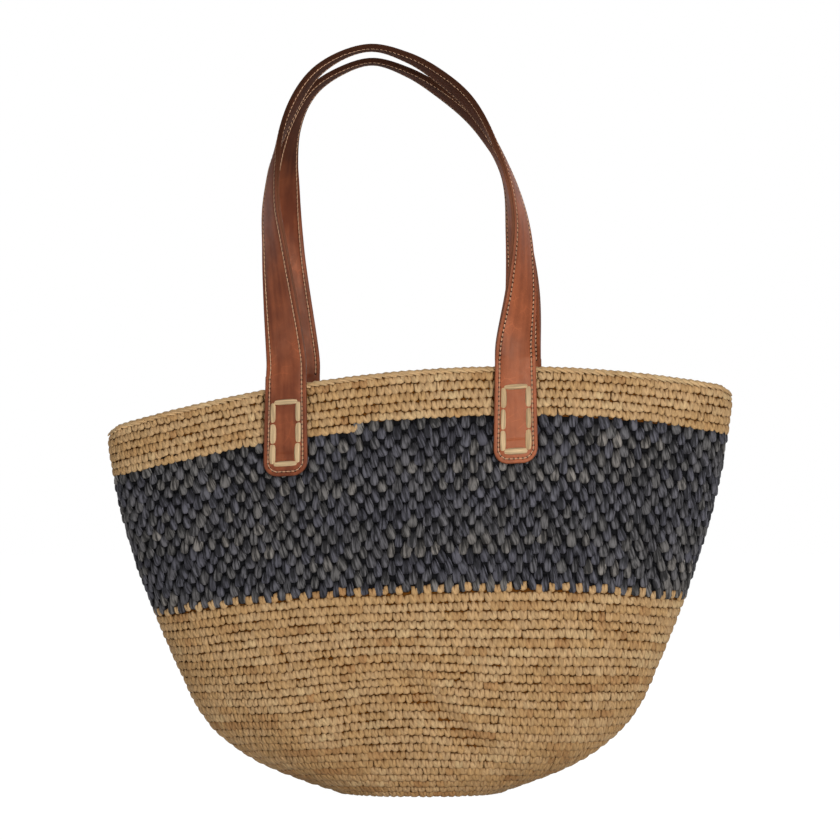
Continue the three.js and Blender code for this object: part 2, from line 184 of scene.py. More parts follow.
class ToteStraps(PropertyGroup):
    """Sizes of the leather handles."""

    width: size("Strap width", "Width of the strap", 32)
    leather: size("Leather", "Thickness of each of the two layers", 1.8)
    gap: size("Gap", "Left between pieces that touch", 0.3)
    tab_flare: size("Tab flare", "How much wider the sewn ends are", 3)
    tab_corner: size("Tab corner", "Corner radius of a tab's end", 12)
    tab_below_rim: size("Tab below rim", "From the rim down to a tab's end", 79)
    tab_crease: size("Tab crease", "From a tab's end up to the crease across it", 18.6)
    crease_depth: size("Crease depth", "How deep the crease across a tab is", 0.5)
    tab_press: size("Tab press", "How far the fabric is pressed in under a tab", 2.4)
    fold_above_rim: size("Fold above rim", "Where the strap folds when a handle drops", 3)
    fold_reach: size("Fold reach", "How far the fold bends on each side of its line", 12)
    tab_spacing: size("Tab spacing", "Between the middles of one handle's tabs", 180.5)
    front_shift: size("Front shift", "From the middle plane to the front handle", -15.25)
    back_shift: size("Back shift", "From the middle plane to the back handle", -7.5)
    front_height: size("Front loop", "Height of the front loop above its fold", 256.5)
    back_height: size("Back loop", "Height of the back loop above its fold", 248.5)
    front_left_twist: size("Front left twist", "That leg turns edge on over this height", 197)
    front_right_twist: size("Front right twist", "That leg turns edge on over this height", 160)
    back_left_twist: size("Back left twist", "That leg turns edge on over this height", 201)
    back_right_twist: size("Back right twist", "That leg turns edge on over this height", 163)
    front_left_ease: power("Front left ease", "Power of the way up that the turn follows", 0.83)
    front_right_ease: power("Front right ease", "Power of the way up that the turn follows", 0.71)
    back_left_ease: power("Back left ease", "Power of the way up that the turn follows", 2.5)
    back_right_ease: power("Back right ease", "Power of the way up that the turn follows", 0.95)
    shoulder_height: size("Shoulder height", "Above the fold, where a strap starts over its arch", 168)
    front_tip: tilt("Front tip", "How far past edge on the front strap turns at its shoulders", 11.6)
    back_tip: tilt("Back tip", "How far past edge on the back strap turns at its shoulders", -9.3)
    arch_gap: size("Arch gap", "Between the two arches", 6)
    edge_rounding: size("Edge rounding", "How far the leather's edges are rounded down", 0.55)
    crown: size("Crown", "How far the middle of the strap stands above its sides", 0.45)
    # The arch is painted darker above the fold, as painted shade, and made matt: these set where that starts
    # and how fast it grows
    held_from: size("Held from", "Above the fold, where the mark of hands begins", 118)
    held_fade: size("Held fade", "Over what height the mark of hands grows to full", 80)
    seam_inset: size("Seam inset", "From the strap's edge to the seam", 3.6)
    seam_groove: size("Seam groove", "How deep the seam is pulled into the leather", 0.4)
    thread: size("Thread", "Thickness of the seam thread", 0.8)
    seam_pitch: size("Seam pitch", "From one seam stitch to the next", 3.6)
    lash_below_rim: size("Lashing below rim", "From the rim down to the highest holes", 19.5)
    lash_above_end: size("Lashing above end", "From a tab's end up to the lowest holes", 9.6)
    lash_column: size("Lashing column", "From a tab's middle to its holes", 9.8)
    lash_width: size("Lashing width", "Width of the lashing strand", 4.8)
    lash_thickness: size("Lashing thickness", "Thickness of the lashing strand", 2.4)
    lash_stitches: IntProperty(name="Lashing stitches", description="On each long side", default=3)


class ToteFinish(PropertyGroup):
    """Colours of the finishes."""

    raffia_deep: colour("Raffia deep", "Darkest natural strands", "#A0764C")
    raffia_gold: colour("Raffia gold", "Golden natural strands", "#B69264")
    raffia_mid: colour("Raffia mid", "Most natural strands", "#BC9A70")
    raffia_pale: colour("Raffia pale", "Palest natural strands", "#C8AB7F")
    # Painted shade: the colour between and behind the natural stitches
    raffia_gap_shade: colour("Raffia gap", "Between natural stitches", "#553008")
    charcoal_deep: colour("Charcoal deep", "Darkest dyed strands", "#2D2C31")
    charcoal_mid: colour("Charcoal mid", "Most dyed strands", "#444349")
    charcoal_warm: colour("Charcoal warm", "Strands that took less dye", "#4A4847")
    charcoal_pale: colour("Charcoal pale", "Palest dyed strands", "#6A6560")
    # Painted shade: the colour between and behind the charcoal stitches
    charcoal_gap_shade: colour("Charcoal gap", "Between dyed stitches", "#0B0B0D")
    leather_deep: colour("Leather deep", "Darker leather", "#602C18")
    leather_tan: colour("Leather tan", "Most of the leather", "#914E30")
    leather_edge: colour("Leather edge", "Cut edge of the leather", "#5A3320")
    thread: colour("Seam thread", "Waxed seam thread", "#DAAE8A")
    lashing_deep: colour("Lashing deep", "Darker lashing fibres", "#AA8A60")
    lashing_pale: colour("Lashing pale", "Most of the lashing", "#CBAE86")


def smooth_step(value):
    """An ease from 0 to 1, flat at both ends."""
    share = np.clip(value, 0, 1)
    return share * share * (3 - 2 * share)


def soft_limit(value):
    """A value that rises to 1 and stays there, without a kink."""
    reach = 0.25
    share = np.clip(0.5 + 0.5 * (1 - value) / reach, 0, 1)
    return 1 + (value - 1) * share - reach * share * (1 - share)


def unit(vectors):
    """Vectors made one long."""
    return vectors / np.linalg.norm(vectors, axis=-1, keepdims=True)


def run_length(line):
    """How far each point of a line is along it."""
    return np.concatenate([[0.0], np.cumsum(np.linalg.norm(np.diff(line, axis=0), axis=1))])


class Wall:
    """The crocheted wall's outer face and the heights where its bands meet.

    A row's height is counted on the front centre line.
    """

    def __init__(self, body):
        table = np.array(OUTLINE)
        self.heights = table[:, 0] * body.rim_height
        self.half_widths = body.base_half_width + (body.rim_half_width - body.base_half_width) * table[:, 1]
        self.half_depths = (
            body.base_half_depth
            + (body.belly_half_depth - body.base_half_depth) * table[:, 2]
            + (body.rim_half_depth - body.belly_half_depth) * table[:, 3]
        )
        self.drop = body.side_drop / body.rim_height
        self.upper_top = body.rim_height - body.edging
        self.upper_bottom = self.upper_top - body.upper_band
        self.middle_bottom = self.upper_bottom - body.middle_band

    def along_outline(self, height, values):
        """Values of the outline at any height, on a smooth curve through its stations."""
        slopes = np.diff(values) / np.diff(self.heights)
        tangents = np.concatenate([slopes[:1], (slopes[1:] + slopes[:-1]) / 2, slopes[-1:]])
        height = np.clip(height, self.heights[0], self.heights[-1])
        low = np.clip(np.searchsorted(self.heights, height, side="right") - 1, 0, len(slopes) - 1)
        span = self.heights[low + 1] - self.heights[low]
        share = (height - self.heights[low]) / span
        rest = 1 - share
        return (
            rest**2 * (1 + 2 * share) * values[low]
            + share**2 * (3 - 2 * share) * values[low + 1]
            + span * share * rest * (rest * tangents[low] - share * tangents[low + 1])
        )

    def row(self, height, angle):
        """Points of the outer face. An angle of -90 degrees is the front."""
        height, angle = np.broadcast_arrays(np.asarray(height, float), np.asarray(angle, float))
        across = np.cos(angle)
        half_width = self.along_outline(height, self.half_widths)
        half_depth = self.along_outline(height, self.half_depths)
        x = half_width * across
        return np.stack([
            x,
            half_depth * np.sin(angle) * (1 - self.dented(x, height, np.sin(angle)) / half_depth),
            height * (1 - self.drop * across**2),
        ], axis=-1)

    def dented(self, x, height, side):
        """How far the soft fabric is dented in, on the front (side below 0) and the back."""
        firm_below = 15 * MM
        depth = np.zeros_like(x)
        for facing, middle, level, across, up, lean, dent in DENTS:
            off = (x - middle * MM - lean * (height - level * MM)) / (across * MM)
            over = (height - level * MM) / (up * MM)
            depth += dent * MM * np.exp(-off**2 - over**2) * smooth_step(2 * facing * side)
        return depth * smooth_step(height / firm_below)

    def normal(self, height, angle):
        """Which way the outer face looks."""
        turn = 0.001
        rise = 0.2 * MM
        lower = np.maximum(height - rise, 0)
        along = self.row(height, angle + turn) - self.row(height, angle - turn)
        up = self.row(height + rise, angle) - self.row(lower, angle)
        return unit(np.cross(along, up))

    def place(self, x, z, side):
        """The row and the angle of a place on the front (-1) or back (1) wall, given its x and z."""
        height = np.asarray(z, float)
        share = 0.0
        passes = 8
        for _ in range(passes):
            share = x / self.along_outline(height, self.half_widths)
            height = z / (1 - self.drop * share**2)
        return height, side * np.arccos(share)

    def spot(self, x, z, side):
        """A place on the outer face and the way out from it."""
        height, angle = self.place(x, z, side)
        return self.row(height, angle), self.normal(height, angle)

    def pulled(self, height, angle):
        """A row's height where the soft fabric pulls it up, low in the middle of the front, and where it
        ripples a little round the bag, but not at the base or the rim."""
        pull = 6 * MM
        pull_middle = -20 * MM
        pull_reach = 62 * MM
        x = self.along_outline(height, self.half_widths) * np.cos(angle)
        on_front = smooth_step(-2 * np.sin(angle))
        low_down = smooth_step(height / (40 * MM)) * (1 - smooth_step((height - 50 * MM) / (110 * MM)))
        arch = pull * np.exp(-((x - pull_middle) / pull_reach) ** 2) * low_down * on_front
        ripple = 0.7 * MM
        waves_round = 5
        turn_with_height = 40
        wave = ripple * np.sin(waves_round * angle + turn_with_height * height)
        off_base = smooth_step(height / (20 * MM))
        off_rim = smooth_step((330 * MM - height) / (30 * MM))
        return height + arch + wave * off_base * off_rim


class Strap:
    """One handle's strap: a tab on the wall at each end and the loop between them.

    Every place on it is a point under the strap, on the wall's outer face along a tab, and the way out
    from there. The strap's layers lie at their own distances along that way out.
    """

    def __init__(self, wall, body, straps, name, side, shape):
        self.wall = wall
        self.straps = straps
        self.name = name
        self.side = side
        self.shape = shape
        self.shift = getattr(straps, f"{name}_shift")
        self.height = getattr(straps, f"{name}_height")
        self.tip = getattr(straps, f"{name}_tip")
        self.twists = [
            (getattr(straps, f"{name}_{end}_twist"), getattr(straps, f"{name}_{end}_ease"))
            for end in ("left", "right")
        ]
        self.fold = body.rim_height + straps.fold_above_rim
        self.tab_end = body.rim_height - straps.tab_below_rim
        half_spacing = straps.tab_spacing / 2
        self.tabs = {"left": self.shift - half_spacing, "right": self.shift + half_spacing}
        self.lining_inside = straps.gap
        self.lining_outside = straps.gap + straps.leather
        self.face_inside = 2 * straps.gap + straps.leather
        self.face_outside = 2 * straps.gap + 2 * straps.leather
        self.middle = (self.lining_inside + self.face_outside) / 2
        # A tab's points stop just short of the fold, where the loop's begin
        self.tab_top = self.fold - 1.5 * MM

    def tab_half_width(self, z):
        """Half the width of a tab between its straight sides, before its corners are rounded."""
        share = (z - self.tab_end) / (self.fold - self.tab_end)
        return (self.straps.width + self.straps.tab_flare * (1 - share)) / 2

    def tab_half_rounded(self, z):
        """Half the width of a tab with its rounded corners."""
        corner = self.straps.tab_corner
        into = np.maximum(0, corner - (z - self.tab_end))
        return self.tab_half_width(z) - corner + np.sqrt(np.maximum(corner**2 - into**2, 0))

    def tab_spots(self, end, across, z):
        """Places on a tab. Across is counted the way the strap is wide as it leaves the left tab."""
        way = -self.side if end == "left" else self.side
        return self.wall.spot(self.tabs[end] + way * across, z, self.side)

    def tab_edge(self, across, z):
        """How far in from a tab's edge a place on it is."""
        corner = self.straps.tab_corner
        from_side = self.tab_half_width(z) - np.abs(across)
        from_end = z - self.tab_end
        round_corner = corner - np.hypot(np.maximum(corner - from_side, 0), np.maximum(corner - from_end, 0))
        return np.maximum(np.minimum(np.minimum(from_side, from_end), round_corner), 0)

    def fold_lie(self, end):
        """How far out the strap is at its fold, how it leans there and how far it is turned."""
        base, out = self.wall.spot(self.tabs[end], self.fold, self.side)
        middle = base + out * self.middle
        return np.array([abs(middle[1]), -out[2] / abs(out[1]), math.asin(abs(out[0]))])

    def loop_line(self):
        """The loop's middle line seen from the front, as x, z and its share of the way along."""
        shape = np.array(self.shape) * (self.straps.tab_spacing / 2, self.height)
        shape += (self.shift, self.fold)
        ends = (2 * shape[0] - shape[1], 2 * shape[-1] - shape[-2])
        knots = np.vstack([ends[0], shape, ends[1]])
        steps = np.sqrt(np.linalg.norm(np.diff(knots, axis=0), axis=1))
        share = np.linspace(0, 1, 60, endpoint=False)[:, None]
        line = []
        for first in range(len(shape) - 1):
            before, start, end, after = knots[first:first + 4]
            step_before, step, step_after = steps[first:first + 3]
            chord = (end - start) / step
            leave = (start - before) / step_before - (end - before) / (step_before + step) + chord
            arrive = chord - (after - start) / (step + step_after) + (after - end) / step_after
            leave = leave * step
            arrive = arrive * step
            line.append(
                start
                + share * leave
                + share**2 * (3 * (end - start) - 2 * leave - arrive)
                + share**3 * (2 * (start - end) + leave + arrive)
            )
        line = np.vstack([*line, shape[-1:]])
        run = run_length(line)
        return line, run / run[-1]

    def loop_points(self, shares):
        """Points of the loop's middle line."""
        line, along = self.loop_line()
        x = np.interp(shares, along, line[:, 0])
        z = np.interp(shares, along, line[:, 1])
        left = self.fold_lie("left")
        right = self.fold_lie("right")
        out, lean, _ = (left + (right - left) * shares[:, None]).T
        arch_out = (self.straps.width + self.straps.arch_gap) / 2
        bend = (arch_out - out - lean * self.height) / self.height**2
        rise = z - self.fold
        return np.stack([x, self.side * (out + lean * rise + bend * rise**2), z], axis=-1)

    def loop_frames(self, shares):
        """Points of the loop, the way the strap's face looks and the way it is wide."""
        small = 0.002
        points = self.loop_points(shares)
        along = unit(self.loop_points(shares + small) - self.loop_points(shares - small))
        left = self.fold_lie("left")[2]
        right = self.fold_lie("right")[2]
        rise = points[:, 2] - self.fold
        left_turned, right_turned = (
            soft_limit(np.maximum(rise / height, 0) ** ease) for height, ease in self.twists
        )
        turned = left_turned + (right_turned - left_turned) * smooth_step((shares - 0.3) / 0.4)
        shoulder = self.straps.shoulder_height
        over_top = np.maximum(0, (rise - shoulder) / (self.height - shoulder))
        start = left + (right - left) * shares
        turn = start + (math.pi / 2 - start) * turned + self.tip * np.sin(math.pi * over_top)
        out_of_loop = np.stack([-along[:, 2], np.zeros(len(shares)), along[:, 0]], axis=-1)
        face = np.sin(turn)[:, None] * out_of_loop
        face[:, 1] += self.side * np.cos(turn)
        face = unit(face - along * np.sum(face * along, axis=1, keepdims=True))
        return points, face, np.cross(along, face)

    def loop_spots(self, shares, across):
        """Places on the loop, at distances across the strap."""
        points, face, wide = self.loop_frames(shares)
        return points + wide * across - face * self.middle, face

    def tab_heights(self):
        """Heights of a tab's points, closer together at its end, its crease and its fold."""
        end = self.tab_end + np.array(END_STEPS) * MM
        crease = self.tab_end + self.straps.tab_crease + np.array(CREASE_STEPS) * MM
        fold_start = self.fold - self.straps.fold_reach
        spacing = 3 * MM
        straight = np.arange(crease[-1] + spacing, fold_start - spacing / 3, spacing)
        fold = np.linspace(fold_start, self.tab_top, 8)
        return np.concatenate([end, crease, straight, fold])

    def loop_shares(self):
        """Shares along the loop of its points, closer together at both folds."""
        bend_end = 0.036
        bend = np.linspace(0, bend_end, 15, endpoint=False)
        arch = np.linspace(bend_end, 1 - bend_end, 132)
        return np.concatenate([bend, arch, 1 - bend[::-1]])

    def surface(self):
        """Rows of points over the whole strap: places, ways out, distances from the edge, two masks that
        are 1 on the loop and in the crease across a tab, and distances across."""
        half = self.straps.width / 2
        one_side = 1 - np.array(EDGE_STEPS[:-1]) * MM / half
        shares = np.concatenate([-one_side, [0.0], one_side[::-1]])
        heights = self.tab_heights()
        z, share = np.meshgrid(heights, shares, indexing="ij")
        across = share * self.tab_half_rounded(z)
        tab_edge = self.tab_edge(across, z)
        from_crease = z - self.tab_end - self.straps.tab_crease
        inside_lashing = smooth_step((self.straps.lash_column - np.abs(across)) / (2 * MM))
        crease_half_width = 0.5 * MM
        creased = np.exp(-((from_crease / crease_half_width) ** 2)) * inside_lashing
        loop = self.loop_shares()
        columns = [self.loop_spots(loop, share * half) for share in shares]
        loop_base = np.stack([base for base, _ in columns], axis=1)
        loop_out = np.stack([out for _, out in columns], axis=1)
        left_base, left_out = self.tab_spots("left", across, z)
        right_base, right_out = self.tab_spots("right", across, z)
        loop_edge = np.tile(half * (1 - np.abs(shares)), (len(loop), 1))
        flat = np.zeros_like(loop_edge)
        return (
            np.concatenate([left_base, loop_base, right_base[::-1]]),
            np.concatenate([left_out, loop_out, right_out[::-1]]),
            np.concatenate([tab_edge, loop_edge, tab_edge[::-1]]),
            np.concatenate([np.zeros_like(z), flat + 1, np.zeros_like(z)]),
            np.concatenate([creased, flat, creased[::-1]]),
            np.concatenate([across, flat + half * shares, across[::-1]]),
        )

    def seam_route(self):
        """The seam's line round the strap and back to its first point: places, ways out and a mask that
        is 1 on the loop."""
        inset = self.straps.seam_inset
        corner = self.straps.tab_corner
        start = self.tab_end + corner
        z = np.linspace(start, self.tab_top, 40)
        side = self.tab_half_width(z) - inset
        turn = np.linspace(0, math.pi / 2, 12)[1:]
        middle = self.tab_half_width(start) - corner
        reach = corner - inset
        end_across = np.concatenate([middle + reach * np.cos(turn), -middle - reach * np.cos(turn[::-1])])
        end_z = start - reach * np.concatenate([np.sin(turn), np.sin(turn[::-1])])
        shares = self.loop_shares()
        half = self.straps.width / 2 - inset
        legs = (
            (self.tab_spots("left", side, z), 0),
            (self.loop_spots(shares, half), 1),
            (self.tab_spots("right", side[::-1], z[::-1]), 0),
            (self.tab_spots("right", end_across, end_z), 0),
            (self.tab_spots("right", -side, z), 0),
            (self.loop_spots(shares[::-1], -half), 1),
            (self.tab_spots("left", -side[::-1], z[::-1]), 0),
            (self.tab_spots("left", -end_across, end_z), 0),
        )
        base = np.concatenate([leg[0] for leg, _ in legs])
        out = np.concatenate([leg[1] for leg, _ in legs])
        on_loop = np.concatenate([np.full(len(leg[0]), float(mask)) for leg, mask in legs])
        return tuple(np.concatenate([values, values[:1]]) for values in (base, out, on_loop))

    def lash_holes(self, rim_height):
        """The lashing's holes in order round its rectangle, as distances across and heights."""
        count = self.straps.lash_stitches + 1
        lowest = self.tab_end + self.straps.lash_above_end
        highest = rim_height - self.straps.lash_below_rim
        z = np.linspace(lowest, highest, count)
        column = np.full(count, self.straps.lash_column)
        return np.concatenate([-column, column]), np.concatenate([z, z[::-1]])


def tote_parts(context):
    """The wall and the two straps at the sizes that are set."""
    body = context.scene.tote_body
    straps = context.scene.tote_straps
    wall = Wall(body)
    front = Strap(wall, body, straps, "front", -1, FRONT_SHAPE)
    back = Strap(wall, body, straps, "back", 1, BACK_SHAPE)
    return wall, (front, back)


def link(piece):
    """Put an object in the scene."""
    bpy.context.scene.collection.objects.link(piece)
    return piece


def loft(sections, ring=False):
    """Points and faces of a closed body skinned over sections, each with the same number of points."""
    count = sections.shape[1]
    points = sections.reshape(-1, 3)
    index = np.arange(len(points)).reshape(-1, count)
    here = index if ring else index[:-1]
    after = np.roll(index, -1, axis=0) if ring else index[1:]
    quads = np.stack([here, np.roll(here, -1, axis=1), np.roll(after, -1, axis=1), after], axis=-1)
    faces = quads.reshape(-1, 4).tolist()
    if not ring:
        for end, edge in enumerate(index[[0, -1]]):
            middle = np.full(count, len(points) + end)
            faces += np.stack([edge, np.roll(edge, -1), middle], axis=-1).tolist()
        points = np.vstack([points, sections[[0, -1]].mean(axis=1)])
    return points, faces


def strand(line, out, half_widths, half_depths, sides):
    """A closed flat strand along a line: points, faces and places in its fibres."""
    line = np.asarray(line, float)
    run = unit(np.gradient(line, axis=0))
    across = unit(np.cross(run, out))
    upright = np.cross(across, run)
    turn = 2 * np.pi * np.arange(sides) / sides
    wide = np.multiply.outer(np.asarray(half_widths), np.cos(turn))[..., None]
    deep = np.multiply.outer(np.asarray(half_depths), np.sin(turn))[..., None]
    points, faces = loft(line[:, None] + across[:, None] * wide + upright[:, None] * deep)
    length = run_length(line)
    along = np.repeat(length / length[-1], sides)
    fibre = np.stack([np.tile(np.cos(turn), len(line)), along, 0 * along], axis=-1)
    return points, faces, np.vstack([fibre, [(0, 0, 0), (0, 1, 0)]])


def joined(strands):
    """Several strands as one list of points, faces and fibre places."""
    points = []
    faces = []
    fibres = []
    first = 0
    for part_points, part_faces, part_fibres in strands:
        points.append(part_points)
        fibres.append(part_fibres)
        faces += [[first + corner for corner in face] for face in part_faces]
        first += len(part_points)
    return np.vstack(points), faces, np.vstack(fibres)


def oval(half_width, half_depth, angle, height=0.0):
    """Points of a level oval round the bag's middle."""
    return np.stack([half_width * np.cos(angle), half_depth * np.sin(angle), height + 0 * angle], axis=-1)


def along_line(line, run, at):
    """A line's points, or values at its points, at distances along it."""
    return np.stack([np.interp(at, run, column) for column in line.T], axis=-1)


def make_mesh(name, points, faces, **values):
    """A smooth mesh with its faces outwards, and one attribute for each array of values at its points."""
    mesh = bpy.data.meshes.new(name)
    mesh.from_pydata(points.tolist(), [], faces, shade_flat=False)
    work = bmesh.new()
    work.from_mesh(mesh)
    bmesh.ops.recalc_face_normals(work, faces=work.faces)
    work.to_mesh(mesh)
    work.free()
    for label, array in values.items():
        add_values(mesh, label, array)
    return mesh


def add_values(mesh, label, array):
    """An attribute at a mesh's points, of numbers or of vectors."""
    vectors = array.ndim == 2
    attribute = mesh.attributes.new(label, "FLOAT_VECTOR" if vectors else "FLOAT", "POINT")
    attribute.data.foreach_set("vector" if vectors else "value", np.asarray(array, np.float32).ravel())


def add_piece(name, points, faces, material, **values):
    """A piece in the scene, of one material, with values at its points."""
    piece = link(bpy.data.objects.new(name, make_mesh(name, points, faces, **values)))
    piece.data.materials.append(material)
    return piece


def add_node(tree, kind, inputs=None, **settings):
    """A node with its settings, and its inputs linked to sockets or set to values."""
    node = tree.nodes.new(kind)
    for name, value in settings.items():
        setattr(node, name, value)
    for name, value in (inputs or {}).items():
        if isinstance(value, bpy.types.NodeSocket):
            tree.links.new(value, node.inputs[name])
        else:
            node.inputs[name].default_value = value
    return node


def new_material(name):
    """An empty material, its tree and its output's surface socket."""
    material = bpy.data.materials.new(name)
    material.use_nodes = True
    material.node_tree.nodes.clear()
    output = add_node(material.node_tree, "ShaderNodeOutputMaterial")
    return material, material.node_tree, output.inputs["Surface"]


def opaque(rgb, strength=1.0):
    """A colour with full alpha, made lighter or darker."""
    return (*(part * strength for part in rgb), 1.0)


def background_shows(tree):
    """A mask that is 1 where the white background is seen, also in a mirror or through glass."""
    paths = add_node(tree, "ShaderNodeLightPath").outputs
    direct = add_node(
        tree, "ShaderNodeMath", {0: paths["Is Camera Ray"], 1: paths["Is Glossy Ray"]}, operation="MAXIMUM"
    ).outputs[0]
    return add_node(
        tree, "ShaderNodeMath", {0: direct, 1: paths["Is Transmission Ray"]}, operation="MAXIMUM"
    ).outputs[0]


def raffia(name, colours, gap, roughness, streaks, bundle, spread, slant):
    """Split palm leaf, dried and twisted as it is worked: matt, with lengthwise fibres streaked in their own
    colour and with a painted highlight where they catch a little light, a colour that drifts along the
    strand, and painted shade in the depths. The streaks are how dark and how light the fibres get, a bundle
    of them is so wide in shares of half the stitch, a small spread parts them sharply, and the slant is
    their angle to the stitch."""
    if name in bpy.data.materials:
        return bpy.data.materials[name]
    material, tree, surface = new_material(name)
    fibre = add_node(tree, "ShaderNodeAttribute", attribute_name="fibre").outputs["Vector"]
    tint = add_node(tree, "ShaderNodeAttribute", attribute_name="tint").outputs["Fac"]
    shade = add_node(tree, "ShaderNodeAttribute", attribute_name="shade").outputs["Fac"]
    across, along, deep = add_node(tree, "ShaderNodeSeparateXYZ", {0: fibre}).outputs
    # Every stitch has its own part of the pattern. A bundle of fibres is about 1.5 mm wide on a natural
    # stitch, 2.5 mm on a charcoal one and 1 mm on a lashing
    own = add_node(tree, "ShaderNodeMath", {0: tint, 1: 31.0}, operation="MULTIPLY").outputs[0]
    place = add_node(tree, "ShaderNodeCombineXYZ", {"X": across, "Y": along, "Z": own}).outputs[0]
    streak = add_node(
        tree, "ShaderNodeMapping", {"Vector": place, "Rotation": (0, 0, slant), "Scale": (bundle, 1.5, 1.0)},
        vector_type="TEXTURE",
    ).outputs[0]
    fibres = add_node(
        tree, "ShaderNodeTexNoise", {"Vector": streak, "Scale": 1.0, "Detail": 3.0, "Roughness": 0.6}
    ).outputs["Fac"]
    drift = add_node(tree, "ShaderNodeMath", {0: shade, 1: 0.65}, operation="MULTIPLY").outputs[0]
    tone = add_node(
        tree, "ShaderNodeMath", {0: tint, 1: 0.35, 2: drift}, operation="MULTIPLY_ADD"
    ).outputs[0]
    ramp = add_node(tree, "ShaderNodeValToRGB", {"Fac": tone})
    last = len(colours) - 1
    for step in range(1, last):
        ramp.color_ramp.elements.new(step / last)
    for step, rgb in enumerate(colours):
        ramp.color_ramp.elements[step].color = opaque(rgb)
    # Streaks in the fibres' own colour, with a painted highlight on the lighter ones, scaling the colour
    light = add_node(tree, "ShaderNodeMapRange", {
        "Value": fibres,
        "From Min": 0.5 - spread,
        "From Max": 0.5 + spread,
        "To Min": streaks[0],
        "To Max": streaks[1],
    }).outputs[0]
    clean = add_node(
        tree, "ShaderNodeVectorMath", {0: ramp.outputs["Color"], "Scale": light}, operation="SCALE"
    ).outputs[0]
    paint = add_node(
        # Painted shade where a stitch lies deep: its colour is mixed towards the gap colour
        tree, "ShaderNodeMix", {0: deep, 6: clean, 7: opaque(gap)}, data_type="RGBA"
    ).outputs[2]
    bump = add_node(
        tree, "ShaderNodeBump", {"Height": fibres, "Strength": 0.5, "Distance": 0.5 * MM}
    ).outputs[0]
    shader = add_node(tree, "ShaderNodeBsdfPrincipled", {
        "Base Color": paint,
        "Roughness": roughness,
        "IOR": 1.5,
        "Specular IOR Level": 0.1,
        "Normal": bump,
    })
    tree.links.new(shader.outputs[0], surface)
    return material


def natural_raffia(finish):
    """Undyed raffia, straw to tan."""
    shades = (finish.raffia_deep, finish.raffia_gold, finish.raffia_mid, finish.raffia_pale)
    return raffia(
        "Natural raffia, crocheted", shades, finish.raffia_gap_shade,
        roughness=0.65, streaks=(0.76, 1.12), bundle=0.45, spread=0.12, slant=0.8,
    )


def charcoal_raffia(finish):
    """Raffia dyed charcoal, with strands that took less dye."""
    shades = (finish.charcoal_deep, finish.charcoal_mid, finish.charcoal_warm, finish.charcoal_pale)
    return raffia(
        "Charcoal dyed raffia, crocheted", shades, finish.charcoal_gap_shade,
        roughness=0.55, streaks=(0.3, 2.0), bundle=0.6, spread=0.08, slant=0.35,
    )


def lashing_raffia(finish):
    """Pale raffia left as a flat strand, so it is smoother and brighter than the crochet."""
    shades = (finish.lashing_deep, finish.lashing_pale, finish.lashing_pale)
    return raffia(
        "Pale raffia, flat strand", shades, finish.raffia_gap_shade,
        roughness=0.5, streaks=(0.6, 1.1), bundle=0.4, spread=0.12, slant=0.0,
    )


def gap_shadow(name, rgb):
    """The inner strands of the crochet, seen only through its gaps: dull, and painted dark as the shade in
    the gaps.
    """
    if name in bpy.data.materials:
        return bpy.data.materials[name]
    material, tree, surface = new_material(name)
    place = add_node(tree, "ShaderNodeTexCoord").outputs["Object"]
    # Strand ends about 2 mm apart
    speckle = add_node(
        tree, "ShaderNodeTexNoise", {"Vector": place, "Scale": 1 / (2 * MM), "Detail": 2.0}
    ).outputs["Fac"]
    paint = add_node(
        tree, "ShaderNodeMix", {0: speckle, 6: opaque(rgb), 7: opaque(rgb, 1.6)}, data_type="RGBA"
    ).outputs[2]
    shader = add_node(
        tree, "ShaderNodeBsdfPrincipled", {"Base Color": paint, "Roughness": 0.9, "Specular IOR Level": 0.1}
    )
    tree.links.new(shader.outputs[0], surface)
    return material


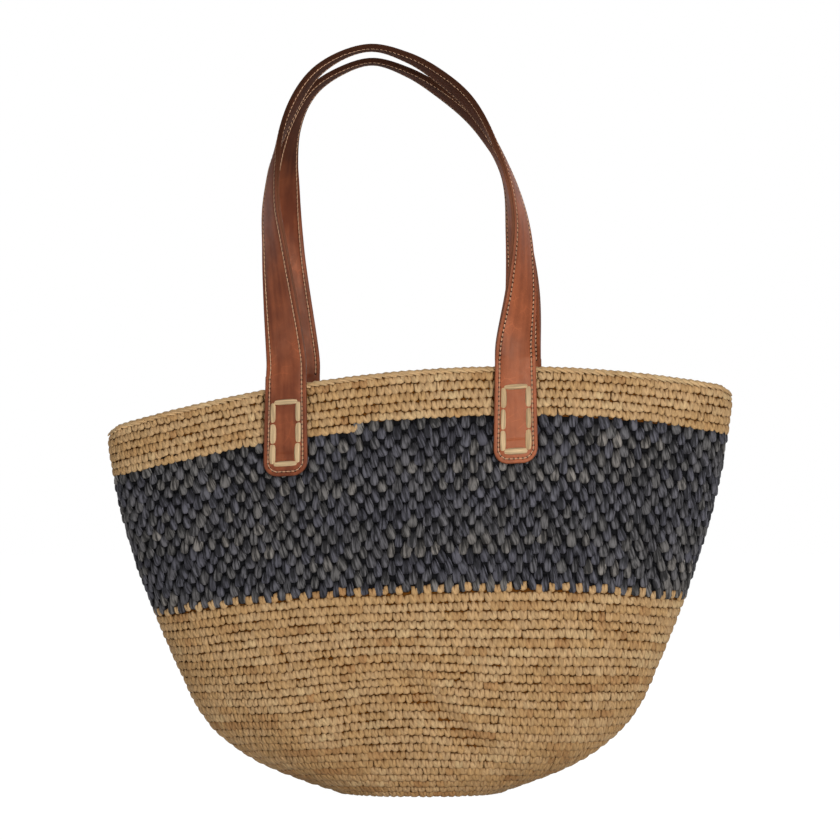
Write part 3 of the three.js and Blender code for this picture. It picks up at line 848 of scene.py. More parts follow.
def tan_leather(finish):
    """Vegetable tanned leather with a waxed finish: warm brown with soft mottling, painted shade towards the
    strap's left end and painted light towards its right, a fine pore grain, a low gloss that breaks up,
    darker cut edges, and a matt arch with painted shade."""
    name = "Tan leather, waxed"
    if name in bpy.data.materials:
        return bpy.data.materials[name]
    material, tree, surface = new_material(name)
    place = add_node(tree, "ShaderNodeTexCoord").outputs["Object"]
    edge = add_node(tree, "ShaderNodeAttribute", attribute_name="edge").outputs["Fac"]
    held = add_node(tree, "ShaderNodeAttribute", attribute_name="held").outputs["Fac"]
    # Mottling about 18 mm across, fine creases about 3.5 mm apart, and pores about 0.9 mm apart, as coarse
    # as they need to be to show
    mottle = add_node(
        tree, "ShaderNodeTexNoise", {"Vector": place, "Scale": 1 / (18 * MM), "Detail": 4.0}
    ).outputs["Fac"]
    pores = add_node(
        tree, "ShaderNodeTexVoronoi", {"Vector": place, "Scale": 1 / (0.9 * MM)}, feature="SMOOTH_F1"
    ).outputs["Distance"]
    creases = add_node(
        tree, "ShaderNodeTexNoise",
        {"Vector": place, "Scale": 1 / (3.5 * MM), "Detail": 5.0, "Roughness": 0.6},
    ).outputs["Fac"]
    # Brush marks about 5 mm wide and 60 mm long, down the strap
    grain = add_node(tree, "ShaderNodeAttribute", attribute_name="grain").outputs["Vector"]
    brushed = add_node(
        tree, "ShaderNodeMapping", {"Vector": grain, "Scale": (1 / (5 * MM), 1 / (60 * MM), 1.0)}
    ).outputs[0]
    streaks = add_node(
        tree, "ShaderNodeTexNoise", {"Vector": brushed, "Scale": 1.0, "Detail": 3.0}
    ).outputs["Fac"]
    worked = add_node(tree, "ShaderNodeMath", {0: mottle, 1: streaks}).outputs[0]
    # The strap is painted darker towards its left end and paler towards its right: painted shade on the left
    # leg, which is turned from the light, and painted light on the right, over the hide's own mottling and
    # brush marks
    along = add_node(tree, "ShaderNodeSeparateXYZ", {0: grain}).outputs["Z"]
    mottle_shade_and_light = add_node(
        tree, "ShaderNodeMath", {0: along, 1: 0.5, 2: worked}, operation="MULTIPLY_ADD"
    ).outputs[0]
    tone = add_node(
        tree, "ShaderNodeMapRange", {"Value": mottle_shade_and_light, "From Min": 0.91, "From Max": 1.59}
    ).outputs[0]
    hide = add_node(
        tree, "ShaderNodeMix",
        {0: tone, 6: opaque(finish.leather_deep), 7: opaque(finish.leather_tan)}, data_type="RGBA",
    ).outputs[2]
    edged = add_node(
        tree, "ShaderNodeMix", {0: edge, 6: hide, 7: opaque(finish.leather_edge)}, data_type="RGBA"
    ).outputs[2]
    # The arch is painted darker, as painted shade
    arch_darkening = add_node(tree, "ShaderNodeMapRange", {"Value": held, "To Min": 1.0, "To Max": 0.28}).outputs[0]
    dark = add_node(tree, "ShaderNodeVectorMath", {0: edged, "Scale": arch_darkening}, operation="SCALE").outputs[0]
    # Pale wrinkles about 9 mm apart, in the patches where the leather was bent
    cells = add_node(
        tree, "ShaderNodeTexVoronoi", {"Vector": place, "Scale": 1 / (9 * MM)}, feature="DISTANCE_TO_EDGE"
    ).outputs["Distance"]
    bent = add_node(
        tree, "ShaderNodeMapRange", {"Value": mottle, "From Min": 0.5, "From Max": 0.65}
    ).outputs[0]
    wrinkles = add_node(
        tree, "ShaderNodeMapRange", {"Value": cells, "From Max": 0.06, "To Min": 0.3, "To Max": 0.0}
    ).outputs[0]
    paler = add_node(
        tree, "ShaderNodeMath", {0: wrinkles, 1: bent, 2: 1.0}, operation="MULTIPLY_ADD"
    ).outputs[0]
    paint = add_node(tree, "ShaderNodeVectorMath", {0: dark, "Scale": paler}, operation="SCALE").outputs[0]
    gloss = add_node(
        tree, "ShaderNodeMapRange",
        {"Value": creases, "From Min": 0.3, "From Max": 0.7, "To Min": 0.42, "To Max": 0.56},
    ).outputs[0]
    rough = add_node(tree, "ShaderNodeMix", {0: held, 2: gloss, 3: 1.0}).outputs[0]
    pored = add_node(
        tree, "ShaderNodeBump", {"Height": pores, "Strength": 0.16, "Distance": 0.3 * MM}
    ).outputs[0]
    relief = add_node(
        tree, "ShaderNodeBump",
        {"Height": creases, "Strength": 0.2, "Distance": 0.6 * MM, "Normal": pored},
    ).outputs[0]
    shader = add_node(tree, "ShaderNodeBsdfPrincipled", {
        "Base Color": paint,
        "Roughness": rough,
        "IOR": 1.5,
        "Specular IOR Level": 0.24,
        "Specular Tint": (1.0, 0.87, 0.7, 1.0),
        "Normal": relief,
    })
    tree.links.new(shader.outputs[0], surface)
    return material


def waxed_thread(finish):
    """Waxed polyester thread, twisted: pale, with a slight gloss and a fine slanted ply."""
    name = "Waxed thread, twisted"
    if name in bpy.data.materials:
        return bpy.data.materials[name]
    material, tree, surface = new_material(name)
    fibre = add_node(tree, "ShaderNodeAttribute", attribute_name="fibre").outputs["Vector"]
    ply = add_node(tree, "ShaderNodeMapping", {"Vector": fibre, "Rotation": (0, 0, 0.6)}).outputs[0]
    # The turns of the ply are about 0.7 mm apart along the thread
    twist = add_node(
        tree, "ShaderNodeTexWave", {"Vector": ply, "Scale": 1.6, "Distortion": 0.4}
    ).outputs["Fac"]
    plies = add_node(
        tree, "ShaderNodeMix",
        {0: twist, 6: opaque(finish.thread, 0.72), 7: opaque(finish.thread)}, data_type="RGBA",
    ).outputs[2]
    # A needle hole is a small disc painted dark, as painted shade
    hole = add_node(tree, "ShaderNodeSeparateXYZ", {0: fibre}).outputs["Z"]
    paint = add_node(
        tree, "ShaderNodeMix", {0: hole, 6: plies, 7: opaque(finish.leather_deep, 0.2)}, data_type="RGBA"
    ).outputs[2]
    bump = add_node(
        tree, "ShaderNodeBump", {"Height": twist, "Strength": 0.4, "Distance": 0.1 * MM}
    ).outputs[0]
    shader = add_node(
        tree, "ShaderNodeBsdfPrincipled",
        {"Base Color": paint, "Roughness": 0.65, "Specular IOR Level": 0.2, "Normal": bump},
    )
    tree.links.new(shader.outputs[0], surface)
    return material


def stitch_tree():
    """The node tree that sets a stitch on every point and makes plain faces of them.

    A point's attributes say which way is out, which way the row runs, how big its stitch is and how far
    it leans. The seed is fixed by the piece.
    """
    name = "Stitches on points"
    if name in bpy.data.node_groups:
        return bpy.data.node_groups[name]
    tree = bpy.data.node_groups.new(name, "GeometryNodeTree")
    sockets = (
        ("Points", "NodeSocketGeometry"),
        ("Stitch", "NodeSocketObject"),
        ("Other stitch", "NodeSocketObject"),
        ("Size variation", "NodeSocketFloat"),
        ("Lean variation", "NodeSocketFloat"),
        ("Seed", "NodeSocketInt"),
        ("Material", "NodeSocketMaterial"),
    )
    for label, kind in sockets:
        tree.interface.new_socket(label, in_out="INPUT", socket_type=kind)
    tree.interface.new_socket("Geometry", in_out="OUTPUT", socket_type="NodeSocketGeometry")
    given = add_node(tree, "NodeGroupInput").outputs
    vectors = {
        label: add_node(
            tree, "GeometryNodeInputNamedAttribute", {"Name": label}, data_type="FLOAT_VECTOR"
        ).outputs["Attribute"]
        for label in ("out", "along", "size")
    }
    lean = add_node(tree, "GeometryNodeInputNamedAttribute", {"Name": "lean"}, data_type="FLOAT")
    facing = add_node(
        tree, "FunctionNodeAlignRotationToVector", {"Vector": vectors["out"]}, axis="Z"
    ).outputs[0]
    upright = add_node(
        tree, "FunctionNodeAlignRotationToVector", {"Rotation": facing, "Vector": vectors["along"]},
        axis="X", pivot_axis="Z",
    ).outputs[0]
    # A random value's inputs are 0 and 1 for vectors, 2 and 3 for numbers, 4 and 5 for whole numbers
    # and 8 for its seed
    sway = add_node(
        tree, "FunctionNodeRandomValue", {2: -1.0, 3: 1.0, 8: given["Seed"]}, data_type="FLOAT"
    ).outputs[1]
    swayed = add_node(
        tree, "ShaderNodeMath",
        {0: sway, 1: given["Lean variation"], 2: lean.outputs["Attribute"]}, operation="MULTIPLY_ADD",
    ).outputs[0]
    turn = add_node(tree, "ShaderNodeCombineXYZ", {"Z": swayed}).outputs[0]
    leaning = add_node(tree, "FunctionNodeEulerToRotation", {0: turn}).outputs[0]
    turned = add_node(
        tree, "FunctionNodeRotateRotation", {"Rotation": upright, "Rotate By": leaning},
        rotation_space="LOCAL",
    ).outputs[0]
    next_seed = add_node(tree, "ShaderNodeMath", {0: given["Seed"], 1: 1.0}).outputs[0]
    swell = add_node(
        tree, "FunctionNodeRandomValue",
        {0: (-1.0, -1.0, -1.0), 1: (1.0, 1.0, 1.0), 8: next_seed}, data_type="FLOAT_VECTOR",
    ).outputs[0]
    share = add_node(
        tree, "ShaderNodeVectorMath", {0: swell, "Scale": given["Size variation"]}, operation="SCALE"
    ).outputs[0]
    grown = add_node(
        tree, "ShaderNodeVectorMath", {0: share, 1: vectors["size"], 2: vectors["size"]},
        operation="MULTIPLY_ADD",
    ).outputs[0]
    patterns = add_node(tree, "GeometryNodeJoinGeometry")
    for label in ("Stitch", "Other stitch"):
        pattern = add_node(
            tree, "GeometryNodeObjectInfo", {"Object": given[label], "As Instance": True}
        ).outputs["Geometry"]
        tree.links.new(pattern, patterns.inputs[0])
    pick_seed = add_node(tree, "ShaderNodeMath", {0: given["Seed"], 1: 3.0}).outputs[0]
    picked = add_node(
        tree, "FunctionNodeRandomValue", {4: 0, 5: 1, 8: pick_seed}, data_type="INT"
    ).outputs[2]
    stitches = add_node(tree, "GeometryNodeInstanceOnPoints", {
        "Points": given["Points"],
        "Instance": patterns.outputs[0],
        "Pick Instance": True,
        "Instance Index": picked,
        "Rotation": turned,
        "Scale": grown,
    }).outputs[0]
    tint_seed = add_node(tree, "ShaderNodeMath", {0: given["Seed"], 1: 2.0}).outputs[0]
    tint = add_node(
        tree, "FunctionNodeRandomValue", {2: 0.0, 3: 1.0, 8: tint_seed}, data_type="FLOAT"
    ).outputs[1]
    tinted = add_node(
        tree, "GeometryNodeStoreNamedAttribute", {"Geometry": stitches, "Name": "tint", "Value": tint},
        data_type="FLOAT", domain="INSTANCE",
    ).outputs[0]
    plain = add_node(tree, "GeometryNodeRealizeInstances", {"Geometry": tinted}).outputs[0]
    done = add_node(
        tree, "GeometryNodeSetMaterial", {"Geometry": plain, "Material": given["Material"]}
    ).outputs[0]
    add_node(tree, "NodeGroupOutput", {"Geometry": done})
    return tree


def sew(name, places, stitches, material, seed, size_variation=0.08, lean_variation=0.08):
    """A piece with one of two stitches on every place, as plain faces."""
    mesh = bpy.data.meshes.new(name)
    mesh.vertices.add(len(places["point"]))
    mesh.vertices.foreach_set("co", places["point"].astype(np.float32).ravel())
    used = ("out", "along", "size", "lean")
    for label in (*used, "shade"):
        add_values(mesh, label, places[label])
    piece = link(bpy.data.objects.new(name, mesh))
    patterns = []
    for points, faces, fibre in stitches:
        mesh = make_mesh(f"{name}_stitch", points, faces, fibre=fibre)
        patterns.append(link(bpy.data.objects.new(f"{name}_stitch", mesh)))
    tree = stitch_tree()
    modifier = piece.modifiers.new("Stitches", "NODES")
    modifier.node_group = tree
    values = {
        "Stitch": patterns[0],
        "Other stitch": patterns[1],
        "Size variation": size_variation,
        "Lean variation": lean_variation,
        "Seed": seed,
        "Material": material,
    }
    for socket in tree.interface.items_tree:
        if socket.in_out == "INPUT" and socket.name in values:
            modifier[socket.identifier] = values[socket.name]
    graph = bpy.context.evaluated_depsgraph_get()
    plain = bpy.data.meshes.new_from_object(
        piece.evaluated_get(graph), preserve_all_data_layers=True, depsgraph=graph
    )
    piece.modifiers.remove(modifier)
    piece.data = plain
    for label in used:
        plain.attributes.remove(plain.attributes[label])
    for pattern in patterns:
        bpy.data.objects.remove(pattern)
    return piece


def gathered(rows):
    """Rows of places as one."""
    return {label: np.concatenate([row[label] for row in rows]) for label in rows[0]}


def chosen(places, keep):
    """Only those places that a mask keeps."""
    return {label: values[keep] for label, values in places.items()}


def yarn_drift(count, seed):
    """A colour that drifts along the yarn, for stitches in the order they are worked."""
    random = np.random.default_rng(seed)
    stitches_to_a_shade = 5
    knots = random.random(count // stitches_to_a_shade + 2)
    return np.interp(np.arange(count) / stitches_to_a_shade, np.arange(len(knots)), knots)


def lay_row(wall, bottom, top, count, phase, depth, lean, begin=-math.pi, end=math.pi):
    """Places for one row of stitches on the wall, between two heights and two angles.

    The phase is how far the first stitch is along the row, in stitches. The lean is an angle, or a function
    that gives it for the angle round the bag.
    """
    middle = (bottom + top) / 2
    fine = np.linspace(begin, end, 1441)
    run = run_length(wall.row(wall.pulled(middle, fine), fine))
    angle = np.interp((np.arange(count) + phase) / count * run[-1], run, fine)
    height = wall.pulled(middle, angle)
    small = 0.004
    ahead = wall.row(wall.pulled(middle, angle + small), angle + small)
    behind = wall.row(wall.pulled(middle, angle - small), angle - small)
    over = wall.row(wall.pulled(top, angle), angle)
    under = wall.row(wall.pulled(bottom, angle), angle)
    return {
        "point": wall.row(height, angle),
        "out": wall.normal(height, angle),
        "along": unit(ahead - behind),
        "size": np.stack([
            np.full(count, run[-1] / count), np.linalg.norm(over - under, axis=1), np.full(count, depth),
        ], axis=-1),
        "lean": np.full(count, lean) if np.isscalar(lean) else lean(angle),
        "angle": angle,
    }


def sunk(places, depth):
    """Places moved in through the fabric."""
    depth = np.broadcast_to(depth, len(places["point"]))
    return {**places, "point": places["point"] - places["out"] * depth[:, None]}


def unevenly(places, reach, seed):
    """Places moved a little along and across their rows, as handwork is."""
    random = np.random.default_rng(seed)
    slip = random.uniform(-reach, reach, (2, len(places["point"]), 1))
    up = np.cross(places["out"], places["along"])
    return {**places, "point": places["point"] + slip[0] * places["along"] + slip[1] * up}


def turned_in(places):
    """Places that look into the bag."""
    return {**places, "out": -places["out"], "along": -places["along"]}


def pressed(places, straps):
    """Places with the fabric pressed in under the leather tabs."""
    x, y, z = places["point"].T
    depth = np.zeros(len(x))
    reach = 5 * MM
    for strap in straps:
        on_side = np.sign(y) == strap.side
        for middle in strap.tabs.values():
            inside = np.minimum(strap.tab_half_width(z) - np.abs(x - middle), z - strap.tab_end)
            press = on_side * smooth_step((inside + reach) / (2 * reach))
            depth = np.maximum(depth, strap.straps.tab_press * press)
    return sunk(places, depth)


def row_heights(wall, bottom, top, pitch):
    """Heights between the rows of a band, closer where the wall runs outwards as it rises."""
    rise = 1 * MM
    heights = np.arange(bottom, top + rise, rise)
    front = run_length(wall.row(heights, np.full(len(heights), -math.pi / 2)))
    side = run_length(wall.row(heights, np.zeros(len(heights))))
    front_share = 0.75
    run = front_share * front + (1 - front_share) * side
    length = np.interp(top, heights, run)
    count = round(length / pitch)
    return np.interp(np.linspace(0, length, count + 1), run, heights)


def row_count(wall, height, width):
    """How many stitches of a width go round the bag at a height."""
    fine = np.linspace(-math.pi, math.pi, 721)
    return round(run_length(wall.row(height, fine))[-1] / width)


def column_pairs(wall, body):
    """How many pairs of charcoal columns go round the bag."""
    return row_count(wall, (wall.upper_bottom + wall.middle_bottom) / 2, 2 * body.column_width)


def colour_step_angle(body):
    """The angle of the place on the front where the upper band loses a row."""
    return -math.acos(body.colour_step / body.rim_half_width)


def base_round(body, inset):
    """Places for one round of stitches under the base, some way in from its edge."""
    half_width = body.base_half_width - inset
    half_depth = body.base_half_depth - inset
    fine = np.linspace(-math.pi, math.pi, 721)
    run = run_length(oval(half_width, half_depth, fine))
    fewest = 6
    count = max(fewest, round(run[-1] / body.stitch_width))
    angle = np.interp((np.arange(count) + 0.5) / count * run[-1], run, fine)
    small = 0.01
    ahead = oval(half_width, half_depth, angle + small)
    behind = oval(half_width, half_depth, angle - small)
    overlap = 1.16
    return {
        "point": oval(half_width, half_depth, angle),
        "out": np.tile((0.0, 0.0, -1.0), (count, 1)),
        "along": unit(ahead - behind),
        "size": np.tile((run[-1] / count, overlap * body.row_height, body.stitch_depth), (count, 1)),
        "lean": np.zeros(count),
    }


def seam_side(strap, way, distance):
    """Places for the seam stitches on the face (way 1), or on the lining (-1) where it is off the wall."""
    sizes = strap.straps
    base, out, on_loop = strap.seam_route()
    line = base + out * distance
    run = run_length(line)
    count = round(run[-1] / sizes.seam_pitch)
    at = (np.arange(count) + 0.5) / count * run[-1]
    point = along_line(line, run, at)
    small = 0.5 * MM
    facing = unit(along_line(out, run, at)) * way
    sewn_in = 0.1 * MM
    places = {
        "point": point - facing * sewn_in,
        "out": facing,
        "along": unit(along_line(line, run, at + small) - point),
        "size": np.tile((run[-1] / count, sizes.thread, sizes.thread), (count, 1)),
        "lean": np.zeros(count),
        "shade": np.full(count, 0.5),
    }
    return chosen(places, (way > 0) | (np.interp(at, run, on_loop) > 0.5))


def folded_stitch(stations, notch, tuck, scallop, side_depth, side_shade):
    """One stitch of flat raffia folded over: a low pillow with a blunt bottom, whose two legs part towards
    its top.

    Each station has a share of the way up, a half width and a crown, in shares of the stitch's height,
    width and depth. The notch between the legs has its place across, the share of the way up where it
    starts, and its half width and depth at the top. The tuck is where the stitch starts to go under the
    row above, and the scallop is how far its bottom is rounded up at the sides. The side depth and shade
    are how far down its sides lie and how much painted shade they have. The last place in the fibres is
    how much painted shade a point has, where it lies deep in the crochet: at the sides, in the notch, at
    the foot and where it goes under the row above.
    crochet a point lies.
    """
    notch_at, notch_start, notch_half, notch_depth = notch
    closed_half = 0.1
    foot = 0.06
    # Painted shade at the stitch's foot and where it goes under the row above
    foot_shade = 0.7
    tuck_shade = 0.9
    points = []
    fibres = []
    for along, half_width, crown in stations:
        opened = min(max((along - notch_start) / (1 - notch_start), 0), 1)
        half = closed_half + (notch_half - closed_half) * opened
        across = np.array([-1, -0.8, notch_at - half, notch_at, notch_at + half, 0.8, 1])
        in_notch = np.array([0, 0, 0.1, 1, 0.1, 0, 0])
        side = np.abs(across) ** 5
        under = foot_shade * smooth_step((foot - along) / foot)
        over = tuck_shade * smooth_step((along - tuck) / (1 - tuck))
        points.append(np.stack([
            half_width * across,
            along - 0.5 + scallop * (1 - along) ** 2 * across**2,
            crown * (1 - side) - side_depth * side - notch_depth * opened * in_notch,
        ], axis=-1))
        # Painted shade: darker at the sides, in the notch, at the foot and under the row above
        deep = np.maximum.reduce([
            side_shade * side, min(1.6 * opened, 1) * in_notch, under + 0 * side, over + 0 * side,
        ])
        fibres.append(np.stack([across, np.full(len(across), along), deep], axis=-1))
    index = np.arange(len(stations) * len(points[0])).reshape(len(stations), -1)
    quads = np.stack([index[:-1, :-1], index[:-1, 1:], index[1:, 1:], index[1:, :-1]], axis=-1)
    edge = np.concatenate([index[0, :-1], index[:-1, -1], index[-1, :0:-1], index[:0:-1, 0]])
    back = index.size
    fan = [[int(corner), int(after), back] for corner, after in zip(edge, np.roll(edge, -1))]
    points = np.vstack([*points, [(0, 0, -0.5)]])
    fibres = np.vstack([*fibres, [(0, 0.5, 1)]])
    return points, quads.reshape(-1, 4).tolist() + fan, fibres


def natural_stitches():
    """Two natural stitches, one whose legs part widely and one that is fuller."""
    parted = (
        (0.0, 0.34, -0.05), (0.06, 0.45, 0.32), (0.3, 0.5, 0.5), (0.65, 0.5, 0.48), (0.88, 0.5, 0.3),
        (1.0, 0.48, -0.1),
    )
    full = (
        (0.0, 0.38, -0.05), (0.06, 0.47, 0.34), (0.3, 0.51, 0.52), (0.68, 0.51, 0.5), (0.9, 0.5, 0.32),
        (1.0, 0.48, -0.1),
    )
    return (
        folded_stitch(
            parted, notch=(-0.1, 0.35, 0.4, 0.75), tuck=0.82, scallop=0.16, side_depth=-0.12, side_shade=0.5
        ),
        folded_stitch(
            full, notch=(0.16, 0.5, 0.34, 0.6), tuck=0.84, scallop=0.16, side_depth=-0.12, side_shade=0.5
        ),
    )


def charcoal_stitches():
    """Two charcoal stitches, longer than the natural ones and pointed at the top, one with a thin strand
    beside it."""
    split = (
        (0.0, 0.42, 0.0), (0.05, 0.51, 0.4), (0.2, 0.55, 0.54), (0.48, 0.5, 0.44), (0.78, 0.36, 0.22),
        (1.0, 0.2, -0.2),
    )
    full = (
        (0.0, 0.38, 0.0), (0.05, 0.5, 0.38), (0.22, 0.57, 0.52), (0.52, 0.52, 0.46), (0.8, 0.4, 0.24),
        (1.0, 0.24, -0.2),
    )
    thin = strand(
        [(0.52, -0.3, -0.2), (0.44, 0.12, 0.05), (0.3, 0.5, -0.3)],
        (0, 0, 1), half_widths=(0.06, 0.14, 0.06), half_depths=(0.1, 0.22, 0.1), sides=4,
    )
    folded = folded_stitch(
        split, notch=(-0.2, 0.12, 0.26, 0.5), tuck=0.42, scallop=0.08, side_depth=0.2, side_shade=0.75
    )
    return (
        joined([folded, thin]),
        folded_stitch(
            full, notch=(0.25, 0.25, 0.24, 0.4), tuck=0.46, scallop=0.1, side_depth=0.2, side_shade=0.75
        ),
    )


def chain_stitch():
    """One stitch of the rim's chain, seen from above: two long flat strands, one over each face."""
    legs = []
    for side in (-1, 1):
        line = np.array([(-0.95, 0.1, 0.02), (-0.4, 0.3, 0.1), (0.3, 0.48, -0.1), (0.95, 0.5, -0.45)])
        legs.append(strand(
            line * (1, side, 1), (0, side * 0.9, 1),
            half_widths=(0.2, 0.36, 0.4, 0.2), half_depths=(0.1, 0.17, 0.17, 0.1), sides=6,
        ))
    return joined(legs)


def bar_stitch():
    """One stitch seen from the wrong side of the fabric: a short bar along the row."""
    return strand(
        [(-0.56, -0.05, -0.1), (-0.2, 0.0, 0.16), (0.2, 0.04, 0.16), (0.56, 0.1, -0.1)],
        (0, 0, 1), half_widths=(0.12, 0.3, 0.3, 0.12), half_depths=(0.12, 0.4, 0.4, 0.12), sides=5,
    )


def thread_stitch():
    """One seam stitch along its seam, with a dark disc after it as painted shade in the needle hole."""
    thread = strand(
        [(-0.27, 0, -0.5), (-0.2, 0, 0.05), (0.2, 0, 0.05), (0.27, 0, -0.5)],
        (0, 0, 1), half_widths=(0.3, 0.5, 0.5, 0.3), half_depths=(0.3, 0.5, 0.5, 0.3), sides=5,
    )
    points, faces, fibre = strand(
        [(0.3, 0, 0.02), (0.5, 0, 0.12), (0.7, 0, 0.02)],
        (0, 0, 1), half_widths=(0.8, 1.2, 0.8), half_depths=(0.12, 0.24, 0.12), sides=6,
    )
    # The last place in the fibres is 1 on the disc at the needle hole, which the thread's material paints
    # dark as painted shade
    return joined([thread, (points, faces, fibre * (1, 1, 0) + (0, 0, 1))])


def strap_body(strap):
    """A strap's points and faces, and values at its points: how far they have the cut edge's colour, how
    much painted shade darkens them over the arch, where it is also matt, and where they lie across and
    along the strap."""
    sizes = strap.straps
    base, out, edge, on_loop, creased, across = strap.surface()
    rounded_width = 0.9 * MM
    groove_half_width = 0.8 * MM
    crown_start = 3 * MM
    crown_slope = 7 * MM
    rounding = sizes.edge_rounding * (1 - np.minimum(edge / rounded_width, 1)) ** 2
    groove = sizes.seam_groove * np.exp(-((edge - sizes.seam_inset) / groove_half_width) ** 2)
    crown = sizes.crown * smooth_step((edge - crown_start) / crown_slope)
    relief = crown - groove
    outside = strap.face_outside + relief - rounding - sizes.crease_depth * creased
    inside = strap.lining_inside - relief * on_loop + rounding
    outer = base + out * outside[..., None]
    inner = base + out * inside[..., None]

    # Each cut edge dips in between the two layers
    layers = (strap.face_inside, strap.middle, strap.lining_outside)
    dip = 0.5 * MM
    insets = (0, dip, 0)
    inward = unit(base[:, 1] - base[:, 0])
    first_edge = [
        base[:, 0] + out[:, 0] * layer + inward * inset for layer, inset in zip(layers[::-1], insets)
    ]
    outward = unit(base[:, -1] - base[:, -2])
    last_edge = [
        base[:, -1] + out[:, -1] * layer - outward * inset for layer, inset in zip(layers, insets)
    ]
    points, faces = loft(np.concatenate([
        outer, np.stack(last_edge, axis=1), inner[:, ::-1], np.stack(first_edge, axis=1),
    ], axis=1))

    # The cut edge's colour is full on both layers, gone in the dip between them, and rubbed a little way
    # onto the face and the lining. Each end of the strap has one more point
    rubbed = 0.55
    rubbed_width = 0.5 * MM
    worn = rubbed * np.exp(-edge / rubbed_width)
    cut = np.tile((1.0, -1.5, 1.0), (len(edge), 1))
    edged = np.concatenate([worn, cut, worn[:, ::-1], cut], axis=1).ravel()
    edged = np.concatenate([edged, [1.0, 1.0]])
    along = run_length(base[:, base.shape[1] // 2])[:, None] + 0 * across
    face = np.stack([across, along, along / along[-1]], axis=-1)
    rim = np.repeat(face[:, :1], len(layers), axis=1)
    back = face[:, ::-1] + (sizes.width, 0, 0)
    grain = np.concatenate([face, rim, back, rim], axis=1).reshape(-1, 3)
    grain = np.vstack([grain, face[0, :1], face[-1, :1]])
    # How much painted shade darkens the arch, growing in above the fold
    held = smooth_step((points[:, 2] - strap.fold - sizes.held_from) / sizes.held_fade)
    return points, faces, {"edge": edged, "held": held, "grain": grain}


def lashing(strap, end, body, random):
    """One tab's lashing, a flat strand from hole to hole on each face of the wall: its points, faces,
    places in the fibres and a tint for each strand."""
    sizes = strap.straps
    across, z = strap.lash_holes(body.rim_height)
    # A strand comes steeply out of its hole, runs almost level over the leather or the fabric, and goes in
    # again. It is narrower and thinner at its ends
    share = (1 - np.cos(np.linspace(0, math.pi, 11))) / 2
    steepness = 0.36
    hump = np.sin(math.pi * share) ** steepness
    rise = 2.4 * MM * hump - 1.7 * MM
    narrow_end = 0.7
    thin_end = 0.6
    half_width = sizes.lash_width / 2 * (narrow_end + (1 - narrow_end) * hump)
    half_depth = sizes.lash_thickness / 2 * (thin_end + (1 - thin_end) * hump)
    loose = 0.4 * MM
    strands = []
    tints = []
    for hole in range(len(z)):
        after = (hole + 1) % len(z)
        for way, level in ((1, strap.face_outside), (-1, -body.fabric)):
            slip = random.uniform(-loose, loose, 2)
            base, out = strap.tab_spots(
                end,
                across[hole] + (across[after] - across[hole]) * share + slip[0] * hump,
                z[hole] + (z[after] - z[hole]) * share + slip[1] * hump,
            )
            fuller = random.uniform(0.86, 1.14)
            strands.append(strand(
                base + out * (level + way * rise)[:, None], out * way,
                half_widths=fuller * half_width, half_depths=half_depth, sides=8,
            ))
            tints.append(np.full(len(strands[-1][0]), random.random()))
    return *joined(strands), np.concatenate(tints)


def fabric_core(name, wall, body, bottom, top, material):
    """The middle of the fabric behind the stitches of a band: a sheet whose dark colour is the painted shade
    in their gaps.
    """
    spacing = 6 * MM
    heights = np.linspace(bottom, top, max(4, round((top - bottom) / spacing)))
    height = np.concatenate([heights, heights[::-1]])
    depth = body.fabric * np.repeat(CORE, len(heights))[:, None]
    angles = np.linspace(-math.pi, math.pi, 160, endpoint=False)
    rows = [wall.row(height, angle) - wall.normal(height, angle) * depth for angle in angles]
    return add_piece(name, *loft(np.array(rows), ring=True), material)


def settle(piece):
    """Let a finished piece sink to the left with the rim, in full above the rim and not at all on the
    floor, round the rim's corners, and lie flat where it would go into the floor."""
    body = bpy.context.scene.tote_body
    places = np.empty(3 * len(piece.data.vertices), np.float32)
    piece.data.vertices.foreach_get("co", places)
    x, _, z = places.reshape(-1, 3).T
    corner = body.rim_corner
    near_end = smooth_step((np.abs(x) - body.rim_half_width + corner) / corner)
    near_top = smooth_step((z - body.rim_height + body.side_drop + corner) / corner)
    inward = 0.26 * corner
    down = 0.15 * corner
    x -= inward * np.sign(x) * near_end * near_top
    z -= down * near_end * near_top
    z += body.slump * x * np.minimum(z / body.rim_height, 1)
    np.maximum(z, 0, out=z)
    piece.data.vertices.foreach_set("co", places)


def on_bag(piece, slot, *nodes):
    """Let a finished piece ride on the bag's body in place of CAD nodes."""
    settle(piece)
    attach(piece, "bag")
    if nodes:
        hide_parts(*nodes)


def across_fold(piece, strap, slot, *nodes):
    """Settle a finished piece, bake its place into its points and hide the CAD nodes that it stands in for.
    """
    settle(piece)
    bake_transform(piece)
    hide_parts(*nodes)


